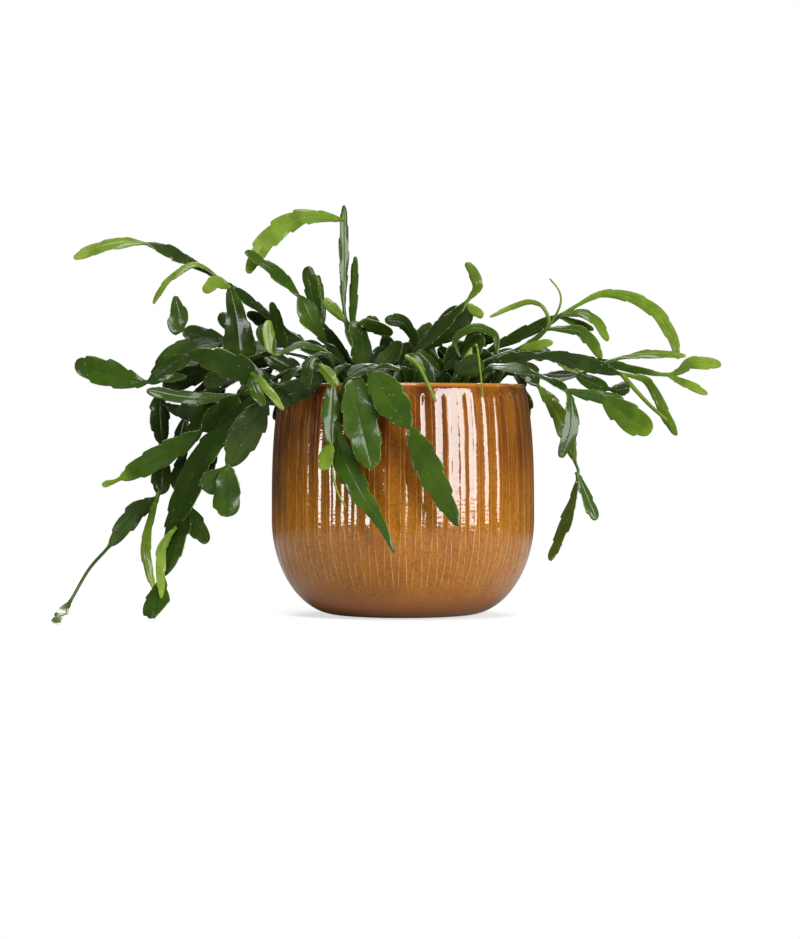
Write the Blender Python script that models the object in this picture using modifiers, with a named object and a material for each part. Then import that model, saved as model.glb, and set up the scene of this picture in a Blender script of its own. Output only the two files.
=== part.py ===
"""A potted rhipsalis: flat stems with crenate edges rise from the soil of a fluted, amber glazed pot, arch
over its rim and trail down its sides.

The tables are in millimetres. +X is to the viewer's right, -Y is the front, +Z is up, and the origin is the
middle of the pot's base."""

import math

import bmesh
import bpy
from mathutils import Quaternion, Vector

MM = 0.001

# Pot: its wall draws in towards the rim above the belly, and below it turns under on a quarter ellipse to a
# flat base
POT_HEIGHT = 140.0
RIM_RADIUS = 74.5
BELLY_RADIUS = 80.0
BELLY_HEIGHT = 58.0
BASE_RADIUS = 40.0
WALL = 5.0
FLOOR = 7.0
FLOOR_RADIUS = 58.0
LIP_ROUND = 1.4
SHOULDER_POWER = 3

FLUTES = 54
FLUTE_DEPTH = 0.9
FLUTE_TOP = 134.0
FLUTE_FULL = 131.0
FLUTE_FADE = 24.0
FLUTE_LOW = 16.0
OUTSIDE_HEIGHTS = (FLUTE_TOP, FLUTE_FULL, 117.0, 95.0, BELLY_HEIGHT, 38.0, FLUTE_FADE, FLUTE_LOW, 5.0)
INSIDE_HEIGHTS = (20.0, 60.0, 112.0)
MERGE = 0.00001
SHARP_ANGLE = 40.0

# Soil
SOIL_TOP = 118.0
SOIL_RELIEF = 1.6
SOIL_WAVE_X = (0.13, 1.0)
SOIL_WAVE_Y = (0.11, -0.5)
SOIL_RINGS = (0.0, 18.0, 36.0, 53.0)
SOIL_EDGE_WIDTH = 1.0
SOIL_EDGE_DROP = 2.0
SOIL_SIDES = 18
CLEARANCE = 0.35
HOLE_DEPTH = 12.0
HOLE_WIDTH = 7.2
HOLE_SIDES = 4
STRAIGHT = 3.0

# Stems
STALK = 3.0
NECK = 2.6
NECK_THICK = 1.5
EDGE_THICK = 0.8
RIB_THICK = 2.0
RIBBED_FROM = 15.0
STATION_STEP = 7.5
STALK_STEP = 14.0
FEWEST_STATIONS = 3
MOST_STATIONS = 8
NOTCH = 0.18
TIP = 0.42
FULLEST_LATE = 1.45
FULLEST_EARLY = 0.6
FULLNESS = 0.52
SIDE_ROLL = -0.7
STALK_TAPER = 0.4
EDGE_REACH = 0.2
TANGENT_STEP = 0.05
END_ON = 0.3

FRONT = (0.0, -1.0, 0.4)
BACK = (0.0, 1.0, 0.4)
OLD, MID, FRESH, NEW = range(4)

# A stem is the way its blades face, how far its main run is rolled about its own length in degrees, and its
# runs. A run is the place it starts from, which is a hole in the soil (x, y) or a point (x, y, z) sunk in
# another run of the stem, and then its pads from there to the tip. A pad is (width as seen before the roll,
# turn of its face about its length in degrees, age, the points it passes through and its end). A pad that
# tapers has a pair of widths, for its foot and its tip, and at times how late along it the pad is fullest.
STEMS = {
    "stem_left_01": (FRONT, 15, (
        ((-30, 14), (STALK, 0, OLD, (-42, 15, 142)), (8, 10, OLD, (-70, 14, 172)),
         (9, 15, OLD, (-112, 10, 204)), (11, 10, OLD, (-135, 8, 217), (-157, 6, 226)),
         (10, 0, NEW, (-180, 5, 225), (-201, 4, 217))),
        ((-70, 14, 171), (9, 0, OLD, (-96, 18, 184))),
        ((-111, 10, 203), (5.5, 30, NEW, (-126, 4, 213), (-143, 0, 203), (-152, -2, 189))),
    )),
    "stem_left_02": (FRONT, 20, (
        ((-34, -12), (STALK, 0, OLD, (-50, -17, 152)), (10, 40, OLD, (-72, -20, 159)),
         (12, 60, OLD, (-101, -21, 153))),
        ((-98, -21, 152), ((25, 9), 0, OLD, (-100, -20, 177), (-105, -18, 201))),
        ((-97, -21, 154), (12, 0, OLD, (-120, -17, 139))),
        ((-104, -19, 198), (8.5, 0, NEW, (-113, -21, 201), (-120, -22, 195))),
    )),
    "stem_left_03": (FRONT, 25, (
        ((-40, 4), (STALK, 0, OLD, (-54, 4, 152)), (12, 30, OLD, (-72, 0, 160)),
         (12, 20, OLD, (-109, -5, 165)), (21, 0, OLD, (-131, -8, 160), (-152, -10, 145))),
        ((-107, -4, 165), (13, 0, OLD, (-134, 2, 173)),
         ((16, 8), 0, MID, (-137, 3, 184), (-139, 4, 194))),
        ((-90, -2, 163), (12, 0, OLD, (-112, 2, 183))),
        ((-70, 0, 158), (7, 0, MID, (-80, -4, 190))),
    )),
    "stem_left_04": (FRONT, -20, (
        ((-30, -26), (STALK, 0, OLD, (-44, -32, 147)), (8, 60, OLD, (-62, -38, 149), (-76, -43, 139)),
         (16.5, 0, OLD, (-101, -45, 150), (-127, -45, 156)), (11, 20, OLD, (-152, -40, 141)),
         (16.5, 0, MID, (-175, -38, 146), (-196, -36, 152))),
        ((-150, -40, 142), (5, 0, MID, (-129, -38, 144))),
        ((-90, -45, 145), (8, 0, MID, (-88, -58, 139), (-82, -64, 126))),
        ((-90, -45, 146), (5.5, 0, NEW, (-82, -61, 139), (-70, -68, 124))),
    )),
    "stem_left_05": (FRONT, 30, (
        ((-22, -18), (STALK, 0, OLD, (-40, -24, 154)), (6, 0, MID, (-60, -27, 163), (-78, -30, 158)),
         (8, 0, NEW, (-81, -31, 178))),
        ((-77, -30, 158), (10, 0, MID, (-86, -27, 175))),
    )),
    "stem_left_06": (FRONT, -30, (
        ((-28, -40), (STALK, 0, OLD, (-36, -52, 143)), (5, 40, OLD, (-43, -62, 147)),
         (13, 0, OLD, (-62, -60, 136), (-80, -54, 128)), (18, 0, OLD, (-92, -53, 112), (-104, -51, 91)),
         (13, 0, MID, (-119, -49, 77))),
        ((-104, -52, 92), (18, 0, MID, (-104, -58, 61))),
        ((-40, -57, 145), (4, 0, OLD, (-43, -60, 155), (-50, -64, 157)),
         (8, 0, OLD, (-56, -69, 149), (-56, -72, 136))),
        ((-46, -62, 145), (STALK, 0, MID, (-48, -73, 150)), (7, 0, NEW, (-38, -85, 138))),
    )),
    "stem_left_07": (FRONT, 35, (
        ((-44, -22), (STALK, 0, OLD, (-58, -28, 146)), (9, 40, OLD, (-70, -30, 147), (-82, -32, 139)),
         (10, 10, OLD, (-98, -36, 121)), (20, 0, OLD, (-120, -38, 95), (-134, -40, 58))),
    )),
    "stem_left_08": (FRONT, -25, (
        ((-50, -8), (STALK, 0, OLD, (-62, -12, 145)), (7, 50, OLD, (-76, -16, 144)),
         (12, 10, OLD, (-98, -22, 134)), (13, 0, OLD, (-121, -24, 112)),
         (14, 0, MID, (-145, -26, 97), (-170, -27, 83)), (4, 0, NEW, (-181, -27, 79))),
        ((-98, -22, 133), (11, 0, MID, (-126, -18, 131), (-155, -15, 136))),
        ((-99, -22, 132), (12, 0, OLD, (-112, -29, 100)), (11, 0, OLD, (-124, -32, 76))),
        ((-76, -16, 143), (14, 0, OLD, (-97, -11, 117))),
        ((-62, -12, 146), (14, 0, OLD, (-84, -9, 158))),
    )),
    "stem_left_09": (FRONT, 30, (
        ((-56, 1), (STALK, 0, OLD, (-65, -1, 146)), (11, 40, OLD, (-80, -5, 150)),
         (14, 20, OLD, (-110, -11, 137)), (14, 0, OLD, (-130, -14, 104)), (10, 0, OLD, (-137, -20, 76)),
         (17, 0, OLD, (-135, -32, 52), (-143, -43, 25)), (16, 0, MID, (-146, -52, 10), (-147, -62, 2))),
        ((-136, -22, 72), (13, 0, MID, (-118, -28, 44))),
        ((-108, -10, 137), (13, 0, OLD, (-137, -5, 121))),
        ((-136, -32, 54), (6.5, 0, NEW, (-144, -42, 40), (-143, -52, 12))),
    )),
    "stem_left_10": (FRONT, -35, (
        ((-50, 14), (STALK, 0, OLD, (-62, 12, 146)), (11, 40, OLD, (-78, 10, 151)),
         (12, 20, OLD, (-112, 7, 150)), (12, 10, OLD, (-146, 4, 136)), (13, 0, OLD, (-148, 2, 104)),
         (13, 0, OLD, (-149, -2, 73)), (11, 0, MID, (-163, -6, 62), (-178, -10, 42)),
         (2, 0, MID, (-190, -14, 28), (-200, -22, 10)), (6, 35, MID, (-204, -34, 3), (-205, -52, 1.6)),
         (5, 35, NEW, (-203, -76, 1.8), (-198, -98, 2.2))),
        ((-149, -2, 75), (6.7, 0, NEW, (-156, -10, 42), (-151, -14, 16))),
        ((-147, 3, 128), (8, 0, OLD, (-124, 0, 119))),
        ((-110, 7, 149), (14, 0, OLD, (-132, 13, 122)), (12, 0, OLD, (-137, 15, 98))),
        ((-80, 10, 150), (15, 0, OLD, (-104, 18, 127))),
        ((-110, 7, 151), (13, 0, OLD, (-136, 15, 155))),
    )),
    "stem_right_01": (FRONT, 20, (
        ((22, 6), (STALK, 0, OLD, (34, 4, 140)), (7, 0, OLD, (47, 2, 157)),
         (8, 10, OLD, (71, 0, 170), (96, -3, 182)),
         (8, 0, NEW, (118, -5, 194), (137, -7, 193), (153, -9, 184), (163, -10, 169), (167, -11, 155))),
        ((95, -3, 181), (8, 0, FRESH, (107, -8, 183), (117, -11, 178), (124, -14, 166))),
        ((95, -3, 181), (6, 0, FRESH, (116, -4, 173))),
    )),
    "stem_right_02": (FRONT, -25, (
        ((30, -14), (STALK, 0, OLD, (39, -18, 143)), (4, 0, OLD, (47, -20, 152)),
         (4, 0, OLD, (71, -22, 162)), (4, 0, MID, (87, -24, 174)),
         (3.5, 0, NEW, (84, -25, 186), (75, -26, 189), (63, -26, 185), (52, -26, 180))),
        ((87, -24, 173), (1.6, 0, NEW, (94, -27, 186), (94, -28, 195), (88, -28, 203))),
        ((87, -24, 173), (8, 0, FRESH, (104, -28, 172), (112, -30, 166), (119, -32, 155))),
        ((70, -22, 161), (6, 0, NEW, (90, -28, 165))),
    )),
    "stem_right_03": (FRONT, 25, (
        ((40, 8), (STALK, 0, OLD, (56, 9, 147)), (6, 0, OLD, (76, 10, 158)),
         (5.5, 0, MID, (118, 10, 154), (161, 8, 146)), (8, 0, NEW, (177, 8, 153), (195, 8, 152))),
        ((162, 8, 146), (7, 0, NEW, (186, 4, 134))),
    )),
    "stem_right_04": (FRONT, -20, (
        ((48, -10), (STALK, 0, OLD, (62, -12, 146)), (12, -20, OLD, (84, -13, 145)),
         (8, 0, OLD, (106, -14, 146)), (2.2, 0, MID, (129, -15, 155)),
         (7, 0, FRESH, (150, -15, 158), (171, -15, 157))),
        ((104, -14, 146), (9.5, 0, MID, (124, -18, 137)), (9, 0, OLD, (137, -18, 138))),
    )),
    "stem_right_05": (FRONT, 30, (
        ((34, -26), (STALK, 0, OLD, (50, -32, 148)), (8, 0, OLD, (80, -36, 157)),
         (9, 0, OLD, (104, -37, 153), (129, -37, 146)),
         (6, 0, FRESH, (146, -38, 141), (157, -41, 120), (163, -43, 109))),
        ((131, -37, 145), (STALK, 0, NEW, (146, -42, 128), (157, -46, 118))),
    )),
    "stem_right_06": (FRONT, -30, (
        ((40, -38), (STALK, 0, OLD, (49, -43, 147)), (11, -10, OLD, (64, -48, 149), (79, -50, 145)),
         (7.5, -10, OLD, (97, -52, 135)), (10, 0, MID, (99, -55, 115), (93, -57, 96))),
        ((96, -52, 136), (8, 0, MID, (115, -50, 132), (131, -48, 130))),
        ((118, -50, 132), (16.5, 0, FRESH, (132, -51, 121), (147, -52, 111))),
    )),
    "stem_right_07": (FRONT, 40, (
        ((52, -24), (STALK, 0, OLD, (60, -24, 147)), (11, -60, OLD, (74, -23, 148), (81, -23, 139)),
         (9.5, 0, FRESH, (90, -25, 128), (97, -27, 114), (103, -29, 94)), (1.8, 0, MID, (105, -29, 84)),
         (8, 0, MID, (98, -31, 58), (88, -33, 34))),
        ((104, -29, 87), (9, 0, MID, (110, -28, 72), (116, -27, 58))),
    )),
    "stem_front_01": (FRONT, 10, (
        ((-8, -44), (STALK, 0, OLD, (-11, -55, 145)), (11, 15, OLD, (-21, -68, 149), (-32, -77, 143))),
        ((-28, -75, 145), (22, 0, MID, (-25, -84, 120), (-18, -88, 90))),
        ((-30, -76, 145), (11, 0, MID, (-36, -75, 116))),
    )),
    "stem_front_02": (FRONT, -20, (
        ((-20, -32), (STALK, 0, OLD, (-28, -50, 147)), (4, 0, OLD, (-36, -66, 149), (-40, -76, 143)),
         (11, 0, MID, (-42, -80, 124), (-42, -82, 103))),
        ((-42, -82, 105), (10, 0, NEW, (-47, -84, 89))),
        ((-42, -82, 105), (1.6, 0, NEW, (-41, -84, 88), (-38, -85, 76), (-33, -85, 67))),
        ((-42, -80, 118), ((22, 4, 1), 0, MID, (-35, -79, 96), (-25, -84, 76), (-14, -88, 60), (-5, -90, 41))),
    )),
    "stem_front_03": (FRONT, 15, (
        ((4, -38), (STALK, 0, OLD, (0, -56, 145)), (5, 0, OLD, (-5, -71, 149), (-17, -81, 147)),
         (20, 0, MID, (-8, -87, 131), (4, -90, 114)),
         ((24, 9, 1.2), 0, MID, (17, -92, 86), (32, -93, 57))),
    )),
    "stem_front_04": (FRONT, 0, (
        ((14, -46), (STALK, 0, OLD, (12, -54, 148)), (8, 0, MID, (2, -62, 155)),
         (STALK, 0, NEW, (9, -70, 150), (15, -78, 138), (19, -81, 129))),
    )),
    "stem_crown_01": (FRONT, 35, (
        ((-18, -4), (STALK, 0, OLD, (-32, -9, 146)), (8, 0, OLD, (-46, -14, 164)),
         (14.5, 0, MID, (-56, -16, 179), (-63, -17, 193)), (11, 0, MID, (-78, -18, 208), (-95, -19, 220))),
        ((-31, -8, 144), (14, 0, OLD, (-52, -5, 153))),
    )),
    "stem_crown_02": (FRONT, -40, (
        ((-16, 8), (STALK, 0, OLD, (-30, 8, 148)), (7, 0, OLD, (-50, 5, 178)),
         (10, 0, MID, (-55, 3, 196), (-58, 2, 212))),
        ((-49, 5, 176), (6, 0, MID, (-52, 9, 207))),
        ((-25, 8, 137), (13, 0, OLD, (-12, 11, 163))),
    )),
    "stem_crown_03": (FRONT, 25, (
        ((-10, -6), (STALK, 0, OLD, (-22, -5, 146)), (8, 20, OLD, (-35, -2, 180)),
         (6.5, 0, MID, (-36, -1, 214), (-36, 0, 249))),
        ((-36, -1, 240), (13, 0, NEW, (-56, -4, 242), (-71, -6, 237), (-85, -9, 224), (-94, -12, 207))),
        ((-31, -3, 168), (6, 0, MID, (-30, 2, 195), (-29, 3, 218))),
        ((-35, -2, 178), (7, 0, NEW, (-48, -6, 192))),
        ((-20, -5, 142), (13, 0, OLD, (-1, -1, 166))),
    )),
    "stem_crown_04": (FRONT, 45, (
        ((-12, -24), (STALK, 0, OLD, (-22, -30, 146)), (14, 0, OLD, (-25, -33, 160), (-26, -34, 176)),
         (8, 20, MID, (-6, -37, 170))),
    )),
    "stem_crown_05": (FRONT, -35, (
        ((-2, -14), (STALK, 0, OLD, (3, -20, 152)), (10, 0, MID, (20, -23, 171), (38, -25, 189)),
         (7, 0, NEW, (45, -25, 200), (38, -25, 213))),
        ((38, -25, 188), (6, 0, NEW, (48, -27, 180))),
        ((1, -17, 138), (11, 0, OLD, (18, -21, 153))),
    )),
    "stem_crown_06": (FRONT, 40, (
        ((8, -2), (STALK, 0, OLD, (12, -7, 158)), (15, 0, OLD, (26, -9, 173), (41, -10, 186))),
        ((12, -7, 156), (8, 0, OLD, (2, -10, 176), (-11, -13, 179))),
    )),
    "stem_crown_07": (FRONT, -25, (
        ((18, -32), (STALK, 0, OLD, (24, -38, 146)), (15, 0, OLD, (36, -41, 156), (48, -43, 168))),
        ((34, -41, 155), (5.5, 0, MID, (31, -43, 166), (42, -45, 173), (54, -46, 169), (56, -47, 157))),
        ((42, -42, 162), (1.6, 0, NEW, (44, -56, 160), (47, -64, 132))),
        ((41, -42, 161), (5, 0, NEW, (37, -47, 151))),
        ((23, -37, 144), (11, 0, OLD, (8, -40, 159))),
    )),
    "stem_crown_08": (FRONT, 50, (
        ((20, 16), (STALK, 0, OLD, (26, 18, 142)), (12, 0, OLD, (38, 16, 166)),
         (10, 0, OLD, (56, 12, 170))),
        ((26, 18, 143), (13, 0, OLD, (8, 14, 161))),
    )),
    "stem_crown_09": (FRONT, -45, (
        ((-4, 20), (STALK, 0, OLD, (-6, 22, 144)), (12, 0, OLD, (-12, 24, 170)),
         (9, 0, MID, (-24, 26, 180))),
        ((-7, 22, 146), (13, 0, OLD, (-32, 25, 160))),
    )),
    "stem_crown_10": (BACK, 50, (
        ((-6, 33), (STALK, 0, OLD, (-4, 36, 146)), (12, 0, OLD, (4, 42, 166)), (9, 0, MID, (18, 46, 178))),
    )),
    "stem_crown_11": (FRONT, 30, (
        ((26, -46), (STALK, 0, OLD, (31, -50, 144)), (13, 0, OLD, (47, -52, 153))),
    )),
    "stem_crown_12": (FRONT, 45, (
        ((28, -4), (STALK, 0, OLD, (34, -6, 144)), (13, 0, OLD, (54, -6, 158))),
        ((31, -5, 134), (11, 0, OLD, (18, -6, 148))),
    )),
    "stem_crown_13": (FRONT, -35, (
        ((20, 32), (STALK, 0, OLD, (24, 34, 145)), (14, 0, OLD, (36, 38, 160))),
    )),
    "stem_crown_14": (FRONT, 35, (
        ((-17, 24), (STALK, 0, OLD, (-22, 26, 144)), (14, 0, OLD, (-40, 30, 157))),
    )),
    "stem_crown_15": (FRONT, 30, (
        ((54, 4), (STALK, 0, OLD, (57, 2, 146)), (12, 0, OLD, (72, -2, 153))),
    )),
    "stem_crown_16": (FRONT, 25, (
        ((45, 35), (STALK, 0, OLD, (47, 36, 130)), (14, 0, OLD, (54, 36, 153))),
    )),
    "stem_crown_17": (FRONT, 20, (
        ((35, 11), (STALK, 0, OLD, (36, 10, 130)), (14, 0, OLD, (44, 9, 159))),
    )),
    "stem_crown_18": (FRONT, 30, (
        ((2, 8), (STALK, 0, OLD, (2, 7, 130)), (14, 0, OLD, (5, 4, 157))),
    )),
    "stem_crown_19": (FRONT, 20, (
        ((23, 52), (STALK, 0, OLD, (26, 52, 130)), (13, 0, OLD, (32, 53, 147))),
    )),
    "stem_crown_20": (FRONT, 20, (
        ((8, -44), (STALK, 0, OLD, (9, -45, 130)), (13, 0, OLD, (15, -46, 152))),
    )),
    "stem_crown_21": (FRONT, 30, (
        ((12, 23), (STALK, 0, OLD, (12, 23, 130)), (14, 0, OLD, (20, 24, 157))),
    )),
    "stem_crown_22": (FRONT, 25, (
        ((44, 15), (STALK, 0, OLD, (46, 16, 130)), (13, 0, OLD, (55, 18, 150))),
    )),
    "stem_crown_23": (FRONT, 25, (
        ((-3, -36), (STALK, 0, OLD, (-3, -37, 130)), (14, 0, OLD, (2, -39, 150))),
    )),
    "stem_back_01": (BACK, -35, (
        ((-40, 28), (STALK, 0, OLD, (-52, 36, 146)), (8, 0, OLD, (-58, 52, 149), (-62, 64, 140)),
         (15, 0, OLD, (-58, 77, 110)), (14, 0, OLD, (-54, 82, 80)), (10, 0, MID, (-58, 84, 54))),
    )),
    "stem_back_02": (BACK, 30, (
        ((-28, 30), (STALK, 0, OLD, (-40, 42, 150)), (9, 0, OLD, (-62, 60, 167)),
         (11, 0, OLD, (-86, 72, 168)), (9, 0, NEW, (-106, 78, 156))),
        ((-84, 71, 168), (14, 0, OLD, (-94, 66, 142))),
    )),
    "stem_back_03": (BACK, 40, (
        ((-22, 42), (STALK, 0, OLD, (-28, 54, 146)), (8, 0, OLD, (-34, 66, 149), (-38, 76, 142)),
         (16, 0, OLD, (-44, 84, 112)), (14, 0, OLD, (-46, 90, 76)), (8, 0, NEW, (-52, 92, 50))),
        ((-29, 57, 147), (14, 0, OLD, (-49, 66, 158))),
    )),
    "stem_back_04": (BACK, -30, (
        ((-6, 46), (STALK, 0, OLD, (-8, 56, 146)), (6, 0, OLD, (-10, 70, 150), (-11, 80, 142)),
         (18, 0, OLD, (-8, 86, 108)), (12, 0, MID, (-4, 90, 78))),
        ((-8, 60, 147), (14, 0, OLD, (-32, 66, 164))),
    )),
    "stem_back_05": (BACK, 45, (
        ((6, 30), (STALK, 0, OLD, (10, 44, 150)), (9, 0, OLD, (14, 66, 172)), (9, 0, OLD, (18, 92, 170)),
         (8, 0, NEW, (20, 112, 152))),
    )),
    "stem_back_06": (BACK, -40, (
        ((14, 46), (STALK, 0, OLD, (18, 56, 146)), (7, 0, OLD, (22, 68, 149), (25, 78, 141)),
         (15, 0, OLD, (28, 86, 108)), (13, 0, OLD, (24, 92, 72)), (8, 0, NEW, (26, 94, 44))),
        ((19, 59, 147), (14, 0, OLD, (2, 62, 166))),
    )),
    "stem_back_07": (BACK, 35, (
        ((30, 34), (STALK, 0, OLD, (40, 44, 146)), (8, 0, OLD, (47, 56, 149), (52, 66, 140)),
         (16, 0, OLD, (54, 78, 108)), (12, 0, MID, (50, 82, 78))),
        ((41, 45, 147), (14, 0, OLD, (22, 50, 163))),
    )),
    "stem_back_08": (BACK, -30, (
        ((36, 22), (STALK, 0, OLD, (48, 28, 150)), (9, 0, OLD, (72, 40, 160)), (9, 0, OLD, (94, 50, 158)),
         (9, 0, NEW, (112, 56, 148))),
    )),
    "stem_back_09": (BACK, 40, (
        ((52, 20), (STALK, 0, OLD, (60, 24, 147)), (12, 0, OLD, (68, 36, 150), (75, 45, 138)),
         (14, 0, OLD, (72, 60, 110)), (12, 0, MID, (69, 67, 82))),
    )),
    "stem_back_10": (BACK, -45, (
        ((-54, 22), (STALK, 0, OLD, (-60, 24, 146)), (7, 0, OLD, (-68, 35, 149), (-75, 43, 138)),
         (13, 0, OLD, (-73, 58, 108)), (12, 0, MID, (-71, 65, 78))),
    )),
}


def clear_scene():
    for obj in list(bpy.data.objects):
        bpy.data.objects.remove(obj, do_unlink=True)


def new_collection(name):
    collection = bpy.data.collections.new(name)
    bpy.context.scene.collection.children.link(collection)
    return collection


def material(name, colour, roughness):
    made = bpy.data.materials.new(name)
    made.use_nodes = True
    shader = made.node_tree.nodes["Principled BSDF"]
    shader.inputs["Base Color"].default_value = (*colour, 1.0)
    shader.inputs["Roughness"].default_value = roughness
    shader.inputs["Metallic"].default_value = 0.0
    return made


def mesh_object(name, bm, materials, collection):
    mesh = bpy.data.meshes.new(name)
    bm.to_mesh(mesh)
    bm.free()
    for each in materials:
        mesh.materials.append(each)
    obj = bpy.data.objects.new(name, mesh)
    collection.objects.link(obj)
    return obj


def bake_modifiers(obj):
    """Puts the evaluated mesh in place of the object's own and drops the modifiers."""
    bpy.context.view_layer.update()
    evaluated = obj.evaluated_get(bpy.context.evaluated_depsgraph_get())
    baked = bpy.data.meshes.new_from_object(evaluated)
    obj.modifiers.clear()
    obj.data = baked


def ease(share):
    share = min(max(share, 0.0), 1.0)
    return share * share * (3.0 - 2.0 * share)


def wall_radius(height):
    """The pot's outer radius at a height, without its flutes."""
    if height < BELLY_HEIGHT:
        drop = (BELLY_HEIGHT - height) / BELLY_HEIGHT
        return BASE_RADIUS + (BELLY_RADIUS - BASE_RADIUS) * math.sqrt(max(1.0 - drop * drop, 0.0))
    rise = (height - BELLY_HEIGHT) / (POT_HEIGHT - BELLY_HEIGHT)
    return BELLY_RADIUS - (BELLY_RADIUS - RIM_RADIUS) * rise**SHOULDER_POWER


def inner_radius(height):
    return wall_radius(height) - WALL


def flute_share(height):
    """How deep the flutes are at a height, from 0 to 1."""
    return min(
        ease((FLUTE_TOP - height) / (FLUTE_TOP - FLUTE_FULL)),
        ease((height - FLUTE_LOW) / (FLUTE_FADE - FLUTE_LOW)),
    )


def pot_profile():
    """Points (radius, height) from the middle of the floor inside, over the rim and down to the base."""
    inside = [(0.0, FLOOR), (FLOOR_RADIUS, FLOOR)]
    inside += [(inner_radius(height), height) for height in INSIDE_HEIGHTS]
    lip_outside = wall_radius(POT_HEIGHT)
    lip_inside = lip_outside - WALL
    lip = [
        (lip_inside, POT_HEIGHT - LIP_ROUND),
        (lip_inside + LIP_ROUND, POT_HEIGHT),
        (lip_outside - LIP_ROUND, POT_HEIGHT),
        (lip_outside, POT_HEIGHT - LIP_ROUND),
    ]
    outside = [(wall_radius(height), height) for height in OUTSIDE_HEIGHTS]
    return inside + lip + outside + [(BASE_RADIUS, 0.0), (0.0, 0.0)]


def turned(name, profile, steps, materials, collection):
    """A solid of revolution about Z from (radius, height) points."""
    bm = bmesh.new()
    points = [bm.verts.new((radius * MM, 0.0, height * MM)) for radius, height in profile]
    for first, second in zip(points, points[1:]):
        bm.edges.new((first, second))
    obj = mesh_object(name, bm, materials, collection)
    screw = obj.modifiers.new("turn", "SCREW")
    screw.steps = steps
    screw.render_steps = steps
    screw.use_merge_vertices = True
    screw.merge_threshold = MERGE
    bake_modifiers(obj)
    return obj


def make_pot(collection):
    glaze = material("amber_glaze", (0.42, 0.15, 0.02), 0.12)
    pot = turned("pot", pot_profile(), 2 * FLUTES, [glaze], collection)
    for vertex in pot.data.vertices:
        height = vertex.co.z / MM
        radius = math.hypot(vertex.co.x, vertex.co.y) / MM
        if not FLUTE_LOW < height < FLUTE_TOP or radius < inner_radius(height) + WALL / 2:
            continue
        step = round(math.atan2(vertex.co.y, vertex.co.x) / math.pi * FLUTES)
        if step % 2:
            cut = 1.0 - FLUTE_DEPTH * flute_share(height) / radius
            vertex.co.x *= cut
            vertex.co.y *= cut
    pot.data.shade_smooth()
    pot.data.set_sharp_from_angle(angle=math.radians(SHARP_ANGLE))
    return pot


def soil_profile():
    """Points (radius, height) from the middle of the soil's top, down its side and back under it."""
    low = FLOOR + CLEARANCE
    middle = [(radius, SOIL_TOP) for radius in SOIL_RINGS]
    edge = [(inner_radius(SOIL_TOP) - CLEARANCE - SOIL_EDGE_WIDTH, SOIL_TOP - SOIL_EDGE_DROP)]
    sides = [(inner_radius(height) - CLEARANCE, height) for height in INSIDE_HEIGHTS[::-1]]
    return middle + edge + sides + [(FLOOR_RADIUS - CLEARANCE, low), (0.0, low)]


def soil_wave(x, y):
    """How far the soil's top rises or sinks at a place."""
    (beat_x, shift_x), (beat_y, shift_y) = SOIL_WAVE_X, SOIL_WAVE_Y
    return SOIL_RELIEF * math.sin(x * beat_x + shift_x) * math.cos(y * beat_y + shift_y)


def make_soil(collection):
    mix = material("potting_mix", (0.03, 0.02, 0.012), 0.95)
    soil = turned("soil", soil_profile(), SOIL_SIDES, [mix], collection)
    for vertex in soil.data.vertices:
        x, y, z = vertex.co / MM
        if z > SOIL_TOP - SOIL_EDGE_DROP / 2:
            vertex.co.z += soil_wave(x, y) * MM
    holes = new_collection("holes")
    for name, (_, _, runs) in STEMS.items():
        x, y = runs[0][0]
        bm = bmesh.new()
        radius = HOLE_WIDTH / 2 * MM
        depth = 2 * HOLE_DEPTH * MM
        bmesh.ops.create_cone(
            bm, cap_ends=True, segments=HOLE_SIDES, radius1=radius, radius2=radius, depth=depth
        )
        hole = mesh_object("hole_" + name, bm, [mix], holes)
        hole.location = (x * MM, y * MM, SOIL_TOP * MM)
        hole.hide_render = True
    cut = soil.modifiers.new("holes", "BOOLEAN")
    cut.operation = "DIFFERENCE"
    cut.operand_type = "COLLECTION"
    cut.collection = holes
    bake_modifiers(soil)
    for hole in list(holes.objects):
        bpy.data.objects.remove(hole, do_unlink=True)
    bpy.data.collections.remove(holes)
    return soil


def smooth_point(points, place):
    """A point on the smooth curve through the points, at place from 0 to len(points) - 1."""
    index = min(int(place), len(points) - 2)
    share = place - index
    before, start, end, after = (points[min(max(index + k, 0), len(points) - 1)] for k in (-1, 0, 1, 2))
    leave = (end - before) * 0.5
    arrive = (after - start) * 0.5
    bend = end - start
    return (
        start
        + leave * share
        + (bend * 3.0 - leave * 2.0 - arrive) * share**2
        + (leave + arrive - bend * 2.0) * share**3
    )


def pad_form(width):
    """Widths at foot and tip, and how late a pad is fullest: past its middle, or early where it tapers."""
    return (*width, FULLEST_EARLY)[:3] if isinstance(width, tuple) else (width, width, FULLEST_LATE)


def blade_half(share, foot, tip, late, last):
    """Half the width of a blade at a share of its length, narrow at its foot."""
    width = foot + (tip - foot) * share
    full = math.sin(math.pi * share**late) ** FULLNESS if 0.0 < share < 1.0 else 0.0
    least = TIP * width if last and share > 0.5 else NECK
    return 0.5 * max(min(least, width), width * full)


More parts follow.
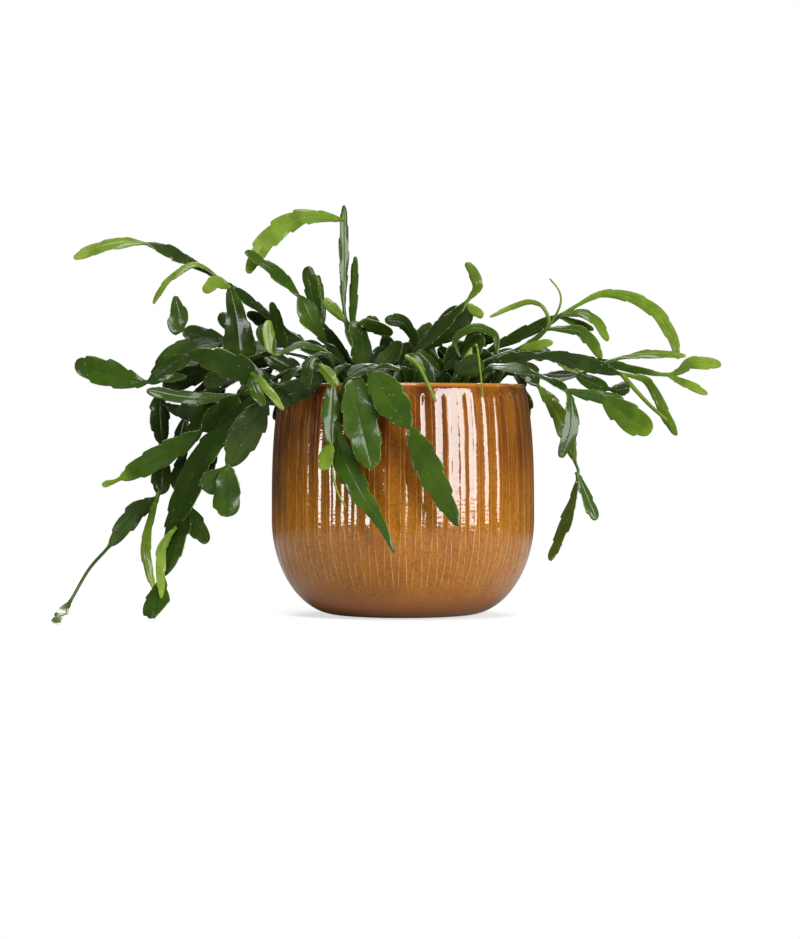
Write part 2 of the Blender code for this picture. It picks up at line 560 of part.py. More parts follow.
def run_stations(start, pads, roll):
    """Stations along a run, each (place on its curve, left and right half width, edge and rib half
    thickness, turn, age). A rolled blade is wider, so that it looks as wide from the side it faced."""
    stations = []
    widen = 1.0 / math.cos(math.radians(roll))
    place = 0
    corner = start
    for number, (width, turn, age, *through) in enumerate(pads):
        last = number == len(pads) - 1
        foot, tip, late = pad_form(width)
        length = sum((Vector(b) - Vector(a)).length for a, b in zip([corner, *through], through))
        if foot <= STALK:
            steps = max(round(length / STALK_STEP), len(through))
        else:
            steps = min(max(round(length / STATION_STEP), FEWEST_STATIONS), MOST_STATIONS)
        for step in range(0 if number == 0 else 1, steps + 1):
            share = step / steps
            if foot <= STALK:
                left = right = edge = rib = foot / 2 * (1.0 - STALK_TAPER * share if last else 1.0)
            else:
                half = blade_half(share, foot * widen, tip * widen, late, last)
                inner = 0 < step < steps
                left = half * (1.0 - NOTCH * (step % 2)) if inner else half
                right = half * (1.0 - NOTCH * (1 - step % 2)) if inner else half
                thin = ease(min(share, 1.0 if last else 1.0 - share) / EDGE_REACH)
                edge = 0.5 * (NECK_THICK + (EDGE_THICK - NECK_THICK) * thin)
                rib = 0.5 * RIB_THICK
            stations.append((place + share * len(through), left, right, edge, rib, turn + roll, age))
        place += len(through)
        corner = through[-1]
    return stations


def run_mesh(start, pads, facing, roll):
    """A closed blade along the run, with its faces split alike on both sides."""
    points = [Vector(start)] + [Vector(point) for _, _, _, *through in pads for point in through]
    ribbed = any(pad_form(width)[0] >= RIBBED_FROM for width, *_ in pads)
    face = Vector(facing).normalized()
    bm = bmesh.new()
    rings = []
    ages = []
    normal = None
    for place, left, right, edge, rib, turn, age in run_stations(start, pads, roll):
        centre = smooth_point(points, place)
        ahead = smooth_point(points, min(place + TANGENT_STEP, len(points) - 1))
        behind = smooth_point(points, max(place - TANGENT_STEP, 0))
        along = (ahead - behind).normalized()
        flat = face - along * face.dot(along)
        if flat.length < END_ON and normal is not None:
            flat = normal - along * normal.dot(along)
        else:
            flat = Quaternion(along, math.radians(turn)) @ flat
        flat.normalize()
        if normal is not None and flat.dot(normal) < 0.0:
            flat.negate()
        normal = flat
        side = along.cross(normal)
        ring = [centre - side * left + normal * edge]
        if ribbed:
            ring.append(centre + normal * rib)
        ring += [centre + side * right + normal * edge, centre + side * right - normal * edge]
        if ribbed:
            ring.append(centre - normal * rib)
        ring.append(centre - side * left - normal * edge)
        rings.append([bm.verts.new(corner * MM) for corner in ring])
        ages.append(age)
    close_loft(bm, rings, ages)
    bmesh.ops.recalc_face_normals(bm, faces=bm.faces)
    return bm


def close_loft(bm, rings, ages):
    """Triangles between the rings, cut along mirrored diagonals on the two faces, and a cap at each end."""
    count = len(rings[0])
    half = count // 2
    for first, second, age in zip(rings, rings[1:], ages[1:]):
        for k in range(count):
            a, b, c, d = first[k], first[(k + 1) % count], second[(k + 1) % count], second[k]
            upper = k < half - 1 or k == count - 1
            for triangle in ((a, b, c), (a, c, d)) if upper else ((a, b, d), (b, c, d)):
                bm.faces.new(triangle).material_index = age
    for ring, age in ((rings[0], ages[0]), (rings[-1], ages[-1])):
        for k in range(half - 1):
            a, b, c, d = ring[k], ring[k + 1], ring[-2 - k], ring[-1 - k]
            for triangle in ((a, b, d), (b, c, d)):
                bm.faces.new(triangle).material_index = age


def make_stem(name, facing, roll, runs, materials, collection):
    """One leafy stem: its main run from the soil, with its other runs joined to it."""
    side_runs = new_collection(name + "_runs")
    objects = []
    for number, (start, *pads) in enumerate(runs):
        if number == 0:
            pads = [(STALK, 0, OLD, (*start, SOIL_TOP + STRAIGHT)), *pads]
            start = (*start, SOIL_TOP - HOLE_DEPTH + CLEARANCE)
        bm = run_mesh(start, pads, facing, SIDE_ROLL * roll if number else roll)
        target = side_runs if number else collection
        objects.append(mesh_object(f"{name}_run_{number}" if number else name, bm, materials, target))
    stem = objects[0]
    if len(runs) > 1:
        join = stem.modifiers.new("runs", "BOOLEAN")
        join.operation = "UNION"
        join.operand_type = "COLLECTION"
        join.collection = side_runs
        bake_modifiers(stem)
    for obj in objects[1:]:
        bpy.data.objects.remove(obj, do_unlink=True)
    bpy.data.collections.remove(side_runs)
    return stem


def main():
    clear_scene()
    bpy.context.scene.unit_settings.system = "METRIC"
    plant = new_collection("potted_rhipsalis")
    make_pot(plant)
    make_soil(plant)
    greens = [
        material("old_green", (0.02, 0.06, 0.015), 0.35),
        material("mid_green", (0.06, 0.16, 0.02), 0.35),
        material("fresh_green", (0.11, 0.24, 0.03), 0.4),
        material("young_green", (0.18, 0.33, 0.05), 0.4),
    ]
    for name, (facing, roll, runs) in STEMS.items():
        make_stem(name, facing, roll, runs, greens, plant)


main()
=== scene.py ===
# Potted rhipsalis: the finish of the plant, its soil and its fluted amber pot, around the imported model
import math
import random

import bmesh
import bpy
import numpy as np
from mathutils import Matrix, Quaternion, Vector


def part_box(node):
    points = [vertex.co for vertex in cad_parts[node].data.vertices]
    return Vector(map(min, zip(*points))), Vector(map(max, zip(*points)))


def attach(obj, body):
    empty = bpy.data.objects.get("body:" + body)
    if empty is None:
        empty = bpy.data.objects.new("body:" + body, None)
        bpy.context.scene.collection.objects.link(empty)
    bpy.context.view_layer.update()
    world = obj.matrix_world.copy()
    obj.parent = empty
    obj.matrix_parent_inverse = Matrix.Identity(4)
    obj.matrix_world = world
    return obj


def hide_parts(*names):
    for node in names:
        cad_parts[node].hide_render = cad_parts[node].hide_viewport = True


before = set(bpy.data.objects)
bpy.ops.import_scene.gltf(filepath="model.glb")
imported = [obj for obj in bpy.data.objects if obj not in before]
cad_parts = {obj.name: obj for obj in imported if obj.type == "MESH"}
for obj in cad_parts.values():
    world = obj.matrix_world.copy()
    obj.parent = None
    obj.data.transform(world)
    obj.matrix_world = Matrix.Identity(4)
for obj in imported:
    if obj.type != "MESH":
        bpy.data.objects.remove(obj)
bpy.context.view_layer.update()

mm = 0.001
scene = bpy.context.scene
print("frame loaded:", len(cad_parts), "solids")


# small helpers for objects

def addObject(name, data):
    made = bpy.data.objects.new(name, data)
    scene.collection.objects.link(made)
    return made


def plainMesh(name, points, faces=(), edges=()):
    mesh = bpy.data.meshes.new(name)
    mesh.from_pydata(points, edges, faces)
    return mesh


def bake(made):
    # puts the finished mesh in place of the one with modifiers
    bpy.context.view_layer.update()
    graph = bpy.context.evaluated_depsgraph_get()
    finished = bpy.data.meshes.new_from_object(made.evaluated_get(graph), preserve_all_data_layers=True,
                                               depsgraph=graph)
    made.modifiers.clear()
    made.data = finished


def turn(name, profile, steps):
    # profile points are (radius, height) in millimetres, at +X and down the outer side
    points = [(radius * mm, 0, height * mm) for radius, height in profile]
    edges = [(k, k + 1) for k in range(len(points) - 1)]
    made = addObject(name, plainMesh(name, points, edges=edges))
    screw = made.modifiers.new("turn", "SCREW")
    screw.steps = screw.render_steps = steps
    screw.use_merge_vertices = True
    screw.merge_threshold = 0.00001
    bake(made)
    made.data.shade_smooth()
    return made


def ease(share):
    share = min(max(share, 0), 1)
    return share * share * (3 - 2 * share)


# small helpers for node trees

class NodeKit:
    # adds nodes to one tree; a value is a number, a vector, a colour or the socket of another node
    def __init__(self, tree):
        self.tree = tree

    def wire(self, value, socket):
        if isinstance(value, bpy.types.NodeSocket):
            self.tree.links.new(value, socket)
        else:
            socket.default_value = value

    def node(self, kind, settings=None, **inputs):
        made = self.tree.nodes.new(kind)
        for key, value in (settings or {}).items():
            setattr(made, key, value)
        for key, value in inputs.items():
            self.wire(value, made.inputs[key])
        return made

    def calc(self, operation, *values, clamp=False):
        made = self.node("ShaderNodeMath", {"operation": operation, "use_clamp": clamp})
        for value, socket in zip(values, made.inputs):
            self.wire(value, socket)
        return made.outputs[0]

    def times(self, product, *values):
        for value in values:
            product = self.calc("MULTIPLY", product, value)
        return product

    def vector(self, operation, *values, **inputs):
        made = self.node("ShaderNodeVectorMath", {"operation": operation}, **inputs)
        for value, socket in zip(values, made.inputs):
            self.wire(value, socket)
        return made.outputs

    def band(self, value, low, high, start=0.0, end=1.0):
        # smooth step of a value from start to end between low and high
        ends = {"Value": value, "From Min": low, "From Max": high, "To Min": start, "To Max": end}
        return self.node("ShaderNodeMapRange", {"interpolation_type": "SMOOTHSTEP"}, **ends).outputs["Result"]

    def coat(self, share, tint, under=None):
        # lays a colour over the colours before it
        made = self.node("ShaderNodeMix", {"data_type": "RGBA", "clamp_factor": True})
        for value, socket in ((share, 0), (under or self.colour, 6), (tint, 7)):
            self.wire(value, made.inputs[socket])
        self.colour = made.outputs[2]

    def noise(self, place, scale, detail):
        made = self.node("ShaderNodeTexNoise", Vector=place, Scale=scale, Detail=detail, Roughness=0.55)
        return made.outputs[0]

    def chance(self, seed, low, high, **inputs):
        # a random number at each point, or a random vector where its limits are vectors
        isVector = isinstance(low, tuple)
        made = self.node("FunctionNodeRandomValue", {"data_type": "FLOAT_VECTOR" if isVector else "FLOAT"},
                         Seed=seed, **inputs)
        for value, socket in ((low, 0), (high, 1)):
            self.wire(value, made.inputs[socket if isVector else socket + 2])
        return made.outputs[0 if isVector else 1]

    def place(self):
        return self.node("ShaderNodeTexCoord").outputs["Object"]

    def mark(self, name):
        # a number that the mesh carries at each point
        return self.node("ShaderNodeAttribute", {"attribute_name": name}).outputs["Fac"]

    def bump(self, shader, height, strength, distance, sockets=("Normal", "Coat Normal")):
        made = self.node("ShaderNodeBump", Height=height, Strength=strength, Distance=distance)
        for key in sockets:
            self.wire(made.outputs[0], shader.inputs[key])

    def finish(self, geometry, material):
        # the end of a Geometry Nodes tree
        real = self.node("GeometryNodeRealizeInstances", Geometry=geometry)
        paint = self.node("GeometryNodeSetMaterial", Geometry=real.outputs[0], Material=material)
        self.wire(paint.outputs[0], self.node("NodeGroupOutput").inputs[0])
        return self.tree


def startMaterial(name, **plain):
    made = bpy.data.materials.new(name)
    made.use_nodes = True
    shader = made.node_tree.nodes["Principled BSDF"]
    for key, value in plain.items():
        shader.inputs[key.replace("_", " ")].default_value = value
    return made, NodeKit(made.node_tree), shader


def startTree(name, sizes):
    # a Geometry Nodes tree with one named input for each size
    tree = bpy.data.node_groups.new(name, "GeometryNodeTree")
    tree.interface.new_socket("Geometry", in_out="INPUT", socket_type="NodeSocketGeometry")
    tree.interface.new_socket("Geometry", in_out="OUTPUT", socket_type="NodeSocketGeometry")
    for label, value in sizes.items():
        kind = {int: "NodeSocketInt", float: "NodeSocketFloat"}.get(type(value), "NodeSocketMaterial")
        tree.interface.new_socket(label, in_out="INPUT", socket_type=kind)
    return NodeKit(tree), tree.nodes.new("NodeGroupInput").outputs


def applyTree(made, makeTree, sizes):
    tree = makeTree(sizes)
    modifier = made.modifiers.new(tree.name, "NODES")
    modifier.node_group = tree
    for item in tree.interface.items_tree:
        if item.in_out == "INPUT" and item.name in sizes:
            modifier[item.identifier] = sizes[item.name]
    bake(made)


# camera: the photograph's view, from 1.8 m in front and a little above

view = {"distance": 1800, "lift": 1.0, "aim": (-1.8, 0, 88), "frameHeight": 572.8, "sensor": 36}


def placeCamera():
    camera = bpy.data.cameras.new("camera")
    camera.sensor_width = view["sensor"]
    camera.lens = view["sensor"] * view["distance"] / view["frameHeight"]
    camera.clip_start, camera.clip_end = 0.05, 60
    made = addObject("camera", camera)
    lift = math.radians(view["lift"])
    back = Vector((0, -math.cos(lift), math.sin(lift)))
    made.location = (Vector(view["aim"]) + back * view["distance"]) * mm
    made.rotation_mode = "QUATERNION"
    made.rotation_quaternion = (-back).to_track_quat("-Z", "Y")
    scene.camera = made


placeCamera()
print("camera placed")


# pot glaze: honey amber, darker where it runs thick, with painted shade on its upper part under the stems,
# pale where it breaks over the carved edges

glaze = {
    "amber": (0.345, 0.122, 0.006, 1), "brown": (0.105, 0.025, 0.002, 1), "gold": (0.415, 0.175, 0.015, 1),
    "pale": (0.62, 0.32, 0.085, 1), "foot": (0.29, 0.095, 0.018, 1), "lip": (0.45, 0.17, 0.020, 1),
    "rust": (0.27, 0.066, 0.004, 1), "deep": (0.034, 0.010, 0.002, 1),
    # how fine each pattern is, where a higher number is finer
    "clouds": 26, "streaks": 75, "threads": 250, "specks": 760, "speckPatches": 150, "grain": 620,
    "breaks": 160, "peel": 360,
    # how strongly each shows
    "cloudy": 0.45, "darkTopAndShade": 0.36, "threaded": 0.55, "speckled": 0.70, "grained": 0.46, "darkLand": 0.30,
    "rusty": 0.42, "footed": 0.75, "lipped": 0.8, "peelBump": 0.36,
    # places in metres: heights between which the glaze changes, and the middle and edge of the dark pool,
    # partly thick glaze and partly painted shade
    "upperHalf": (0.050, 0.118), "footBand": (0.020, 0.006), "lipBand": (0.1372, 0.1392),
    "shadedPool": (-0.066, -0.040, 0.128), "shadedPoolReach": (0.014, 0.060),
}


def makeGlaze():
    made, kit, shader = startMaterial("amberGlaze", Roughness=0.4, Specular_IOR_Level=0.08, Coat_Weight=1.0,
                                      Coat_Roughness=0.018, Coat_IOR=1.62)
    place = kit.place()
    height = kit.node("ShaderNodeSeparateXYZ", Vector=place).outputs["Z"]
    # how deep a place is carved, how far it is from its flute's edge in mm, and how clear that edge is
    carve, aside, clear = kit.mark("carve"), kit.mark("aside"), kit.mark("clear")
    # clouds, and long runs of thicker glaze that are strongest in the upper half
    drawn = kit.node("ShaderNodeMapping", Scale=(1, 1, 0.09), Vector=place).outputs[0]
    runs = kit.band(kit.noise(drawn, glaze["streaks"], 4), 0.44, 0.66)
    upper = kit.band(height, *glaze["upperHalf"])
    cloud = kit.band(kit.noise(place, glaze["clouds"], 3), 0.38, 0.66)
    thick = kit.calc("MULTIPLY", runs, kit.calc("MULTIPLY_ADD", upper, 0.62, 0.20), clamp=True)
    kit.coat(kit.times(cloud, glaze["cloudy"]), glaze["gold"], under=glaze["amber"])
    kit.coat(thick, glaze["brown"])
    # the upper half is darker: partly browner glaze, partly painted shade under the overhanging stems
    kit.coat(kit.times(upper, glaze["darkTopAndShade"]), glaze["brown"])
    threads = kit.band(kit.noise(drawn, glaze["threads"], 2), 0.50, 0.68, 0.0, glaze["threaded"])
    kit.coat(kit.times(threads, upper), glaze["brown"])
    # on the left, under the rim and the stems, a dark pool: partly thicker glaze run down between the edges,
    # partly painted shade of the stems above
    apart = kit.vector("DISTANCE", place, glaze["shadedPool"])["Value"]
    shadedPool = kit.band(apart, *glaze["shadedPoolReach"], 1.0, 0.0)
    kit.coat(kit.times(shadedPool, kit.calc("MULTIPLY_ADD", runs, 0.50, 0.48)), glaze["deep"])
    # fine specks and grain in the glaze
    speck = kit.node("ShaderNodeTexVoronoi", Vector=place, Scale=glaze["specks"]).outputs["Distance"]
    patches = kit.band(kit.noise(place, glaze["speckPatches"], 3), 0.42, 0.62)
    dots = kit.times(kit.band(speck, 0.12, 0.38, glaze["speckled"], 0.0), patches)
    grain = kit.band(kit.noise(place, glaze["grain"], 4), 0.42, 0.66, 0.0, glaze["grained"])
    kit.coat(kit.calc("MAXIMUM", dots, grain), glaze["brown"])
    # the uncarved land between flutes is a little darker, and beside each edge the glaze runs redder
    land = kit.times(kit.calc("SUBTRACT", 1.0, carve), glaze["darkLand"])
    kit.coat(kit.times(land, upper), glaze["brown"])
    beside = kit.band(aside, -1.5, -0.3, 0.0, glaze["rusty"])
    kit.coat(kit.times(beside, kit.band(aside, -0.3, 0.6, 1.0, 0.0), clear), glaze["rust"])
    # the carved edges are pale, in broken lines
    crest = kit.times(kit.band(kit.calc("ABSOLUTE", aside), 0.08, 0.42, 1.0, 0.0), clear)
    broken = kit.times(crest, kit.band(kit.noise(place, glaze["breaks"], 2), 0.32, 0.60, 0.15, 0.68))
    kit.coat(kit.times(broken, kit.calc("MULTIPLY_ADD", upper, -0.45, 1.0)), glaze["pale"])
    kit.coat(kit.times(kit.band(height, *glaze["footBand"]), glaze["footed"]), glaze["foot"])
    kit.coat(kit.times(kit.band(height, *glaze["lipBand"]), glaze["lipped"]), glaze["lip"])
    kit.wire(kit.colour, shader.inputs["Base Color"])
    rings = kit.node("ShaderNodeMapping", Scale=(1, 1, 2.1), Vector=place).outputs[0]
    kit.bump(shader, kit.noise(rings, glaze["peel"], 1), glaze["peelBump"], 0.00022)
    return made


# pot: a turned body whose flutes are scooped out one by one, none quite like the next

potShape = {
    "belly": 58, "bellyRadius": 80.0, "rimRadius": 74.5, "baseRadius": 40.0, "wall": 5.0, "floor": 7.0,
    "floorRadius": 58.0, "lipRound": 1.4, "underLip": 1.2, "shoulder": 3, "inset": 12,
    "insideHeights": (20, 60, 112, 118, 124, 130, 135), "rows": 84, "rowsEnd": 34, "lowRows": 26, "steps": 12,
}
flutes = {
    "Flutes": 54, "Depth": 0.62 * mm, "Half Width": 3.3 * mm, "Top": 134.0 * mm, "Top Round": 3.2 * mm,
    "Bottom": 16.5 * mm, "End Round": 2.2 * mm, "Taper": 36.0 * mm, "Narrowest": 0.42, "Wander": 1.6 * mm,
    "Uneven Ends": 3.2 * mm, "Swell": 0.32, "Shallowest": 0.7, "Deepest": 1.25, "Seed": 7,
}


def wallRadius(height):
    belly, widest, base = potShape["belly"], potShape["bellyRadius"], potShape["baseRadius"]
    if height < belly:
        drop = (belly - height) / belly
        return base + (widest - base) * math.sqrt(max(1 - drop * drop, 0))
    rise = (height - belly) / (potTop - belly)
    return widest - (widest - potShape["rimRadius"]) * rise ** potShape["shoulder"]


def potProfile():
    wall, lip, inset, floor = (potShape[key] for key in ("wall", "lipRound", "inset", "floor"))
    belly, base, floorRadius = (potShape[key] for key in ("belly", "baseRadius", "floorRadius"))
    inside = [(0, floor), (floorRadius - inset, floor), (floorRadius, floor)]
    inside += [(wallRadius(height) - wall, height) for height in potShape["insideHeights"]]
    middle, half = wallRadius(potTop) - wall / 2, wall / 2 - lip
    quarter = np.linspace(0, math.pi / 2, 5)
    corner = [(-half - lip * math.cos(angle), lip * math.sin(angle)) for angle in quarter]
    rim = [(middle + x, potTop - lip + z) for x, z in corner]
    rim += [(middle - x, potTop - lip + z) for x, z in corner[::-1]]
    heights = list(np.linspace(potTop - lip - potShape["underLip"], potShape["rowsEnd"], potShape["rows"]))
    # below, rows follow the turn of the ellipse so that they stay as close together
    lowest = math.asin(1 - potShape["rowsEnd"] / belly)
    angles = np.linspace(lowest, math.pi / 2, potShape["lowRows"])[1:-1]
    heights += [belly * (1 - math.sin(angle)) for angle in angles]
    outside = [(wallRadius(height), height) for height in heights]
    return inside + rim + outside + [(base, 0), (base - inset, 0), (0, 0)]


def fluteTree(sizes):
    kit, size = startTree("carveFlutes", sizes)
    place = kit.node("GeometryNodeInputPosition").outputs[0]
    x, y, z = kit.node("ShaderNodeSeparateXYZ", Vector=place).outputs
    radius = kit.calc("SQRT", kit.calc("ADD", kit.times(x, x), kit.times(y, y)))
    around = kit.calc("DIVIDE", kit.times(kit.calc("ARCTAN2", y, x), size["Flutes"]), 2 * math.pi)
    number = kit.calc("ROUND", around)
    pitch = kit.calc("DIVIDE", kit.times(radius, 2 * math.pi), size["Flutes"])
    # the two sides of the seam behind are the same flute
    index = kit.calc("FLOORED_MODULO", number, size["Flutes"])

    def chance(shift, low, high):
        return kit.chance(kit.calc("ADD", size["Seed"], shift), low, high, ID=index)

    def along(beat, shift):
        # a slow unevenness that runs down one flute
        spread = kit.calc("MULTIPLY_ADD", index, 3.7, shift)
        spot = kit.node("ShaderNodeCombineXYZ", X=spread, Y=kit.times(z, beat)).outputs[0]
        return kit.calc("SUBTRACT", kit.noise(spot, 1.0, 2), 0.5)

    wander = kit.times(kit.calc("ADD", along(34.0, 0.0), chance(0, -0.25, 0.25)), size["Wander"])
    offset = kit.calc("ADD", kit.times(kit.calc("SUBTRACT", around, number), pitch), wander)
    top = kit.calc("ADD", size["Top"], chance(1, -0.0007, 0.0007))
    low = kit.calc("MULTIPLY_ADD", chance(2, -0.5, 0.5), size["Uneven Ends"], size["Bottom"])
    # at its top a flute ends in a round
    crown = kit.calc("DIVIDE", kit.calc("SUBTRACT", top, z), size["Top Round"], clamp=True)
    crown = kit.calc("SUBTRACT", 1.0, kit.calc("POWER", kit.calc("SUBTRACT", 1.0, crown), 2.0))
    crown = kit.calc("SQRT", crown)
    # below it narrows, and then ends in a round of its own
    rise = kit.calc("SUBTRACT", z, low)
    point = kit.calc("DIVIDE", rise, size["Taper"], clamp=True)
    point = kit.calc("MULTIPLY_ADD", point, kit.calc("SUBTRACT", 1.0, size["Narrowest"]), size["Narrowest"])
    blunt = kit.calc("DIVIDE", rise, size["End Round"], clamp=True)
    point = kit.times(point, kit.calc("POWER", blunt, 0.5))
    # flutes keep their share of the pitch where the wall draws in, and swell a little here and there
    widest = kit.calc("DIVIDE", 2 * math.pi * potShape["bellyRadius"] * mm, size["Flutes"])
    swell = kit.calc("MULTIPLY_ADD", along(52.0, 40.0), size["Swell"], 1.0)
    width = kit.times(size["Half Width"], kit.calc("DIVIDE", pitch, widest), swell)
    width = kit.times(width, kit.times(crown, point))
    hollow = kit.calc("SUBTRACT", kit.times(width, width), kit.times(offset, offset))
    full = kit.times(size["Half Width"], size["Half Width"])
    scoop = kit.calc("DIVIDE", kit.calc("MAXIMUM", hollow, 0.0), full)
    # only the outer side is carved: there the surface faces away from the axis
    normal = kit.node("GeometryNodeInputNormal").outputs[0]
    outward = kit.node("ShaderNodeCombineXYZ", X=x, Y=y).outputs[0]
    facing = kit.calc("DIVIDE", kit.vector("DOT_PRODUCT", normal, outward)["Value"], radius)
    outside = kit.calc("GREATER_THAN", facing, 0.2)
    scoop = kit.times(scoop, outside)
    aside = kit.times(kit.calc("SUBTRACT", kit.calc("ABSOLUTE", offset), width), 1 / mm)
    clear = kit.times(outside, kit.band(rise, 0.0, 0.007), kit.calc("LESS_THAN", z, top))
    depth = kit.times(size["Depth"], chance(3, size["Shallowest"], size["Deepest"]))
    push = kit.vector("SCALE", normal, Scale=kit.times(scoop, depth, -1.0))["Vector"]
    body = size["Geometry"]
    for label, value in (("carve", scoop), ("aside", aside), ("clear", clear)):
        body = kit.node("GeometryNodeStoreNamedAttribute", Geometry=body, Name=label, Value=value).outputs[0]
    moved = kit.node("GeometryNodeSetPosition", Geometry=body, Offset=push)
    return kit.finish(moved.outputs[0], size["Glaze"])


def makePot():
    pot = turn("glazedPot", potProfile(), flutes["Flutes"] * potShape["steps"])
    applyTree(pot, fluteTree, flutes | {"Glaze": makeGlaze()})
    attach(pot, "root")
    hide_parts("pot")


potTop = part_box("pot")[1].z / mm
makePot()
print("pot glazed, with", flutes["Flutes"], "flutes")


# potting mix: dark peat with crumbs and chips strewn over its top

mix = {"peat": (0.010, 0.007, 0.004, 1), "brown": (0.055, 0.032, 0.018, 1), "chip": (0.13, 0.075, 0.04, 1)}
soilShape = {
    "top": 118.0, "clear": 0.4, "relief": 1.6, "roughness": 1.1, "steps": 128, "ring": 1.6,
    "sideHeights": (116, 112, 60, 20), "waveX": (0.13, 1.0), "waveY": (0.11, -0.5), "seed": 11,
}
crumbs = {"Density": 110000.0, "Smallest": 0.5 * mm, "Largest": 1.5 * mm, "Seed": 3}


def makeMix():
    made, kit, shader = startMaterial("pottingMix", Roughness=0.93, Specular_IOR_Level=0.25)
    place = kit.place()
    kit.coat(kit.noise(place, 420, 4), mix["brown"], under=mix["peat"])
    kit.coat(kit.band(kit.mark("tone"), 0.55, 0.95), mix["chip"])
    kit.wire(kit.colour, shader.inputs["Base Color"])
    kit.bump(shader, kit.noise(place, 900, 4), 0.6, 0.0008, sockets=("Normal",))
    return made


def crumbTree(sizes):
    kit, size = startTree("strewCrumbs", sizes)
    body = size["Geometry"]
    normal = kit.node("GeometryNodeInputNormal").outputs[0]
    upward = kit.calc("GREATER_THAN", kit.node("ShaderNodeSeparateXYZ", Vector=normal).outputs["Z"], 0.6)
    spots = kit.node("GeometryNodeDistributePointsOnFaces", Mesh=body, Density=size["Density"],
                     Seed=size["Seed"], Selection=upward)
    crumb = kit.node("GeometryNodeMeshIcoSphere", Radius=1.0, Subdivisions=1)

    def chance(shift, low, high):
        return kit.chance(kit.calc("ADD", size["Seed"], shift), low, high)

    spin = chance(1, (0, 0, 0), (6.3, 6.3, 6.3))
    large = chance(3, size["Smallest"], size["Largest"])
    stretch = kit.vector("SCALE", chance(2, (0.5, 0.7, 0.35), (1.4, 1.0, 0.8)), Scale=large)["Vector"]
    strewn = kit.node("GeometryNodeInstanceOnPoints", Points=spots.outputs[0], Instance=crumb.outputs[0],
                      Rotation=spin, Scale=stretch)
    toned = kit.node("GeometryNodeStoreNamedAttribute", {"domain": "INSTANCE"}, Geometry=strewn.outputs[0],
                     Name="tone", Value=chance(4, 0.0, 1.0))
    both = kit.node("GeometryNodeJoinGeometry")
    for piece in (toned.outputs[0], body):
        kit.wire(piece, both.inputs[0])
    return kit.finish(both.outputs[0], size["Mix"])


def makeSoil():
    top, wall, clear = soilShape["top"], potShape["wall"], soilShape["clear"]
    reach = wallRadius(top) - wall - clear - 1
    rings = [(radius, top) for radius in np.arange(0, reach, soilShape["ring"])]
    sides = [(wallRadius(height) - wall - clear, height) for height in soilShape["sideHeights"]]
    low = potShape["floor"] + clear
    under = [(potShape["floorRadius"] - clear, low), (0, low)]
    soil = turn("pottingMix", rings + sides + under, soilShape["steps"])
    draw = random.Random(soilShape["seed"])
    (beatX, shiftX), (beatY, shiftY) = soilShape["waveX"], soilShape["waveY"]
    for vertex in soil.data.vertices:
        x, y, z = vertex.co / mm
        if z > top - 1:
            wave = math.sin(x * beatX + shiftX) * math.cos(y * beatY + shiftY) * soilShape["relief"]
            vertex.co.z += (wave + (draw.random() - 0.5) * soilShape["roughness"]) * mm
    applyTree(soil, crumbTree, crumbs | {"Mix": makeMix()})
    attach(soil, "root")
    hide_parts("soil")


makeSoil()
print("soil strewn with crumbs")


# the stems' routes in millimetres: the way the blades face, their roll in degrees, then the runs. The first
# run stands in a hole in the soil (x, y) and its stalk ends at (x, y, z); any other starts at a point of
# another run. The rest of a run is its pads: the width, or the widths at foot and tip and how late it is
# fullest, the age, a turn of the face in degrees where it has one, the points it passes through and its end

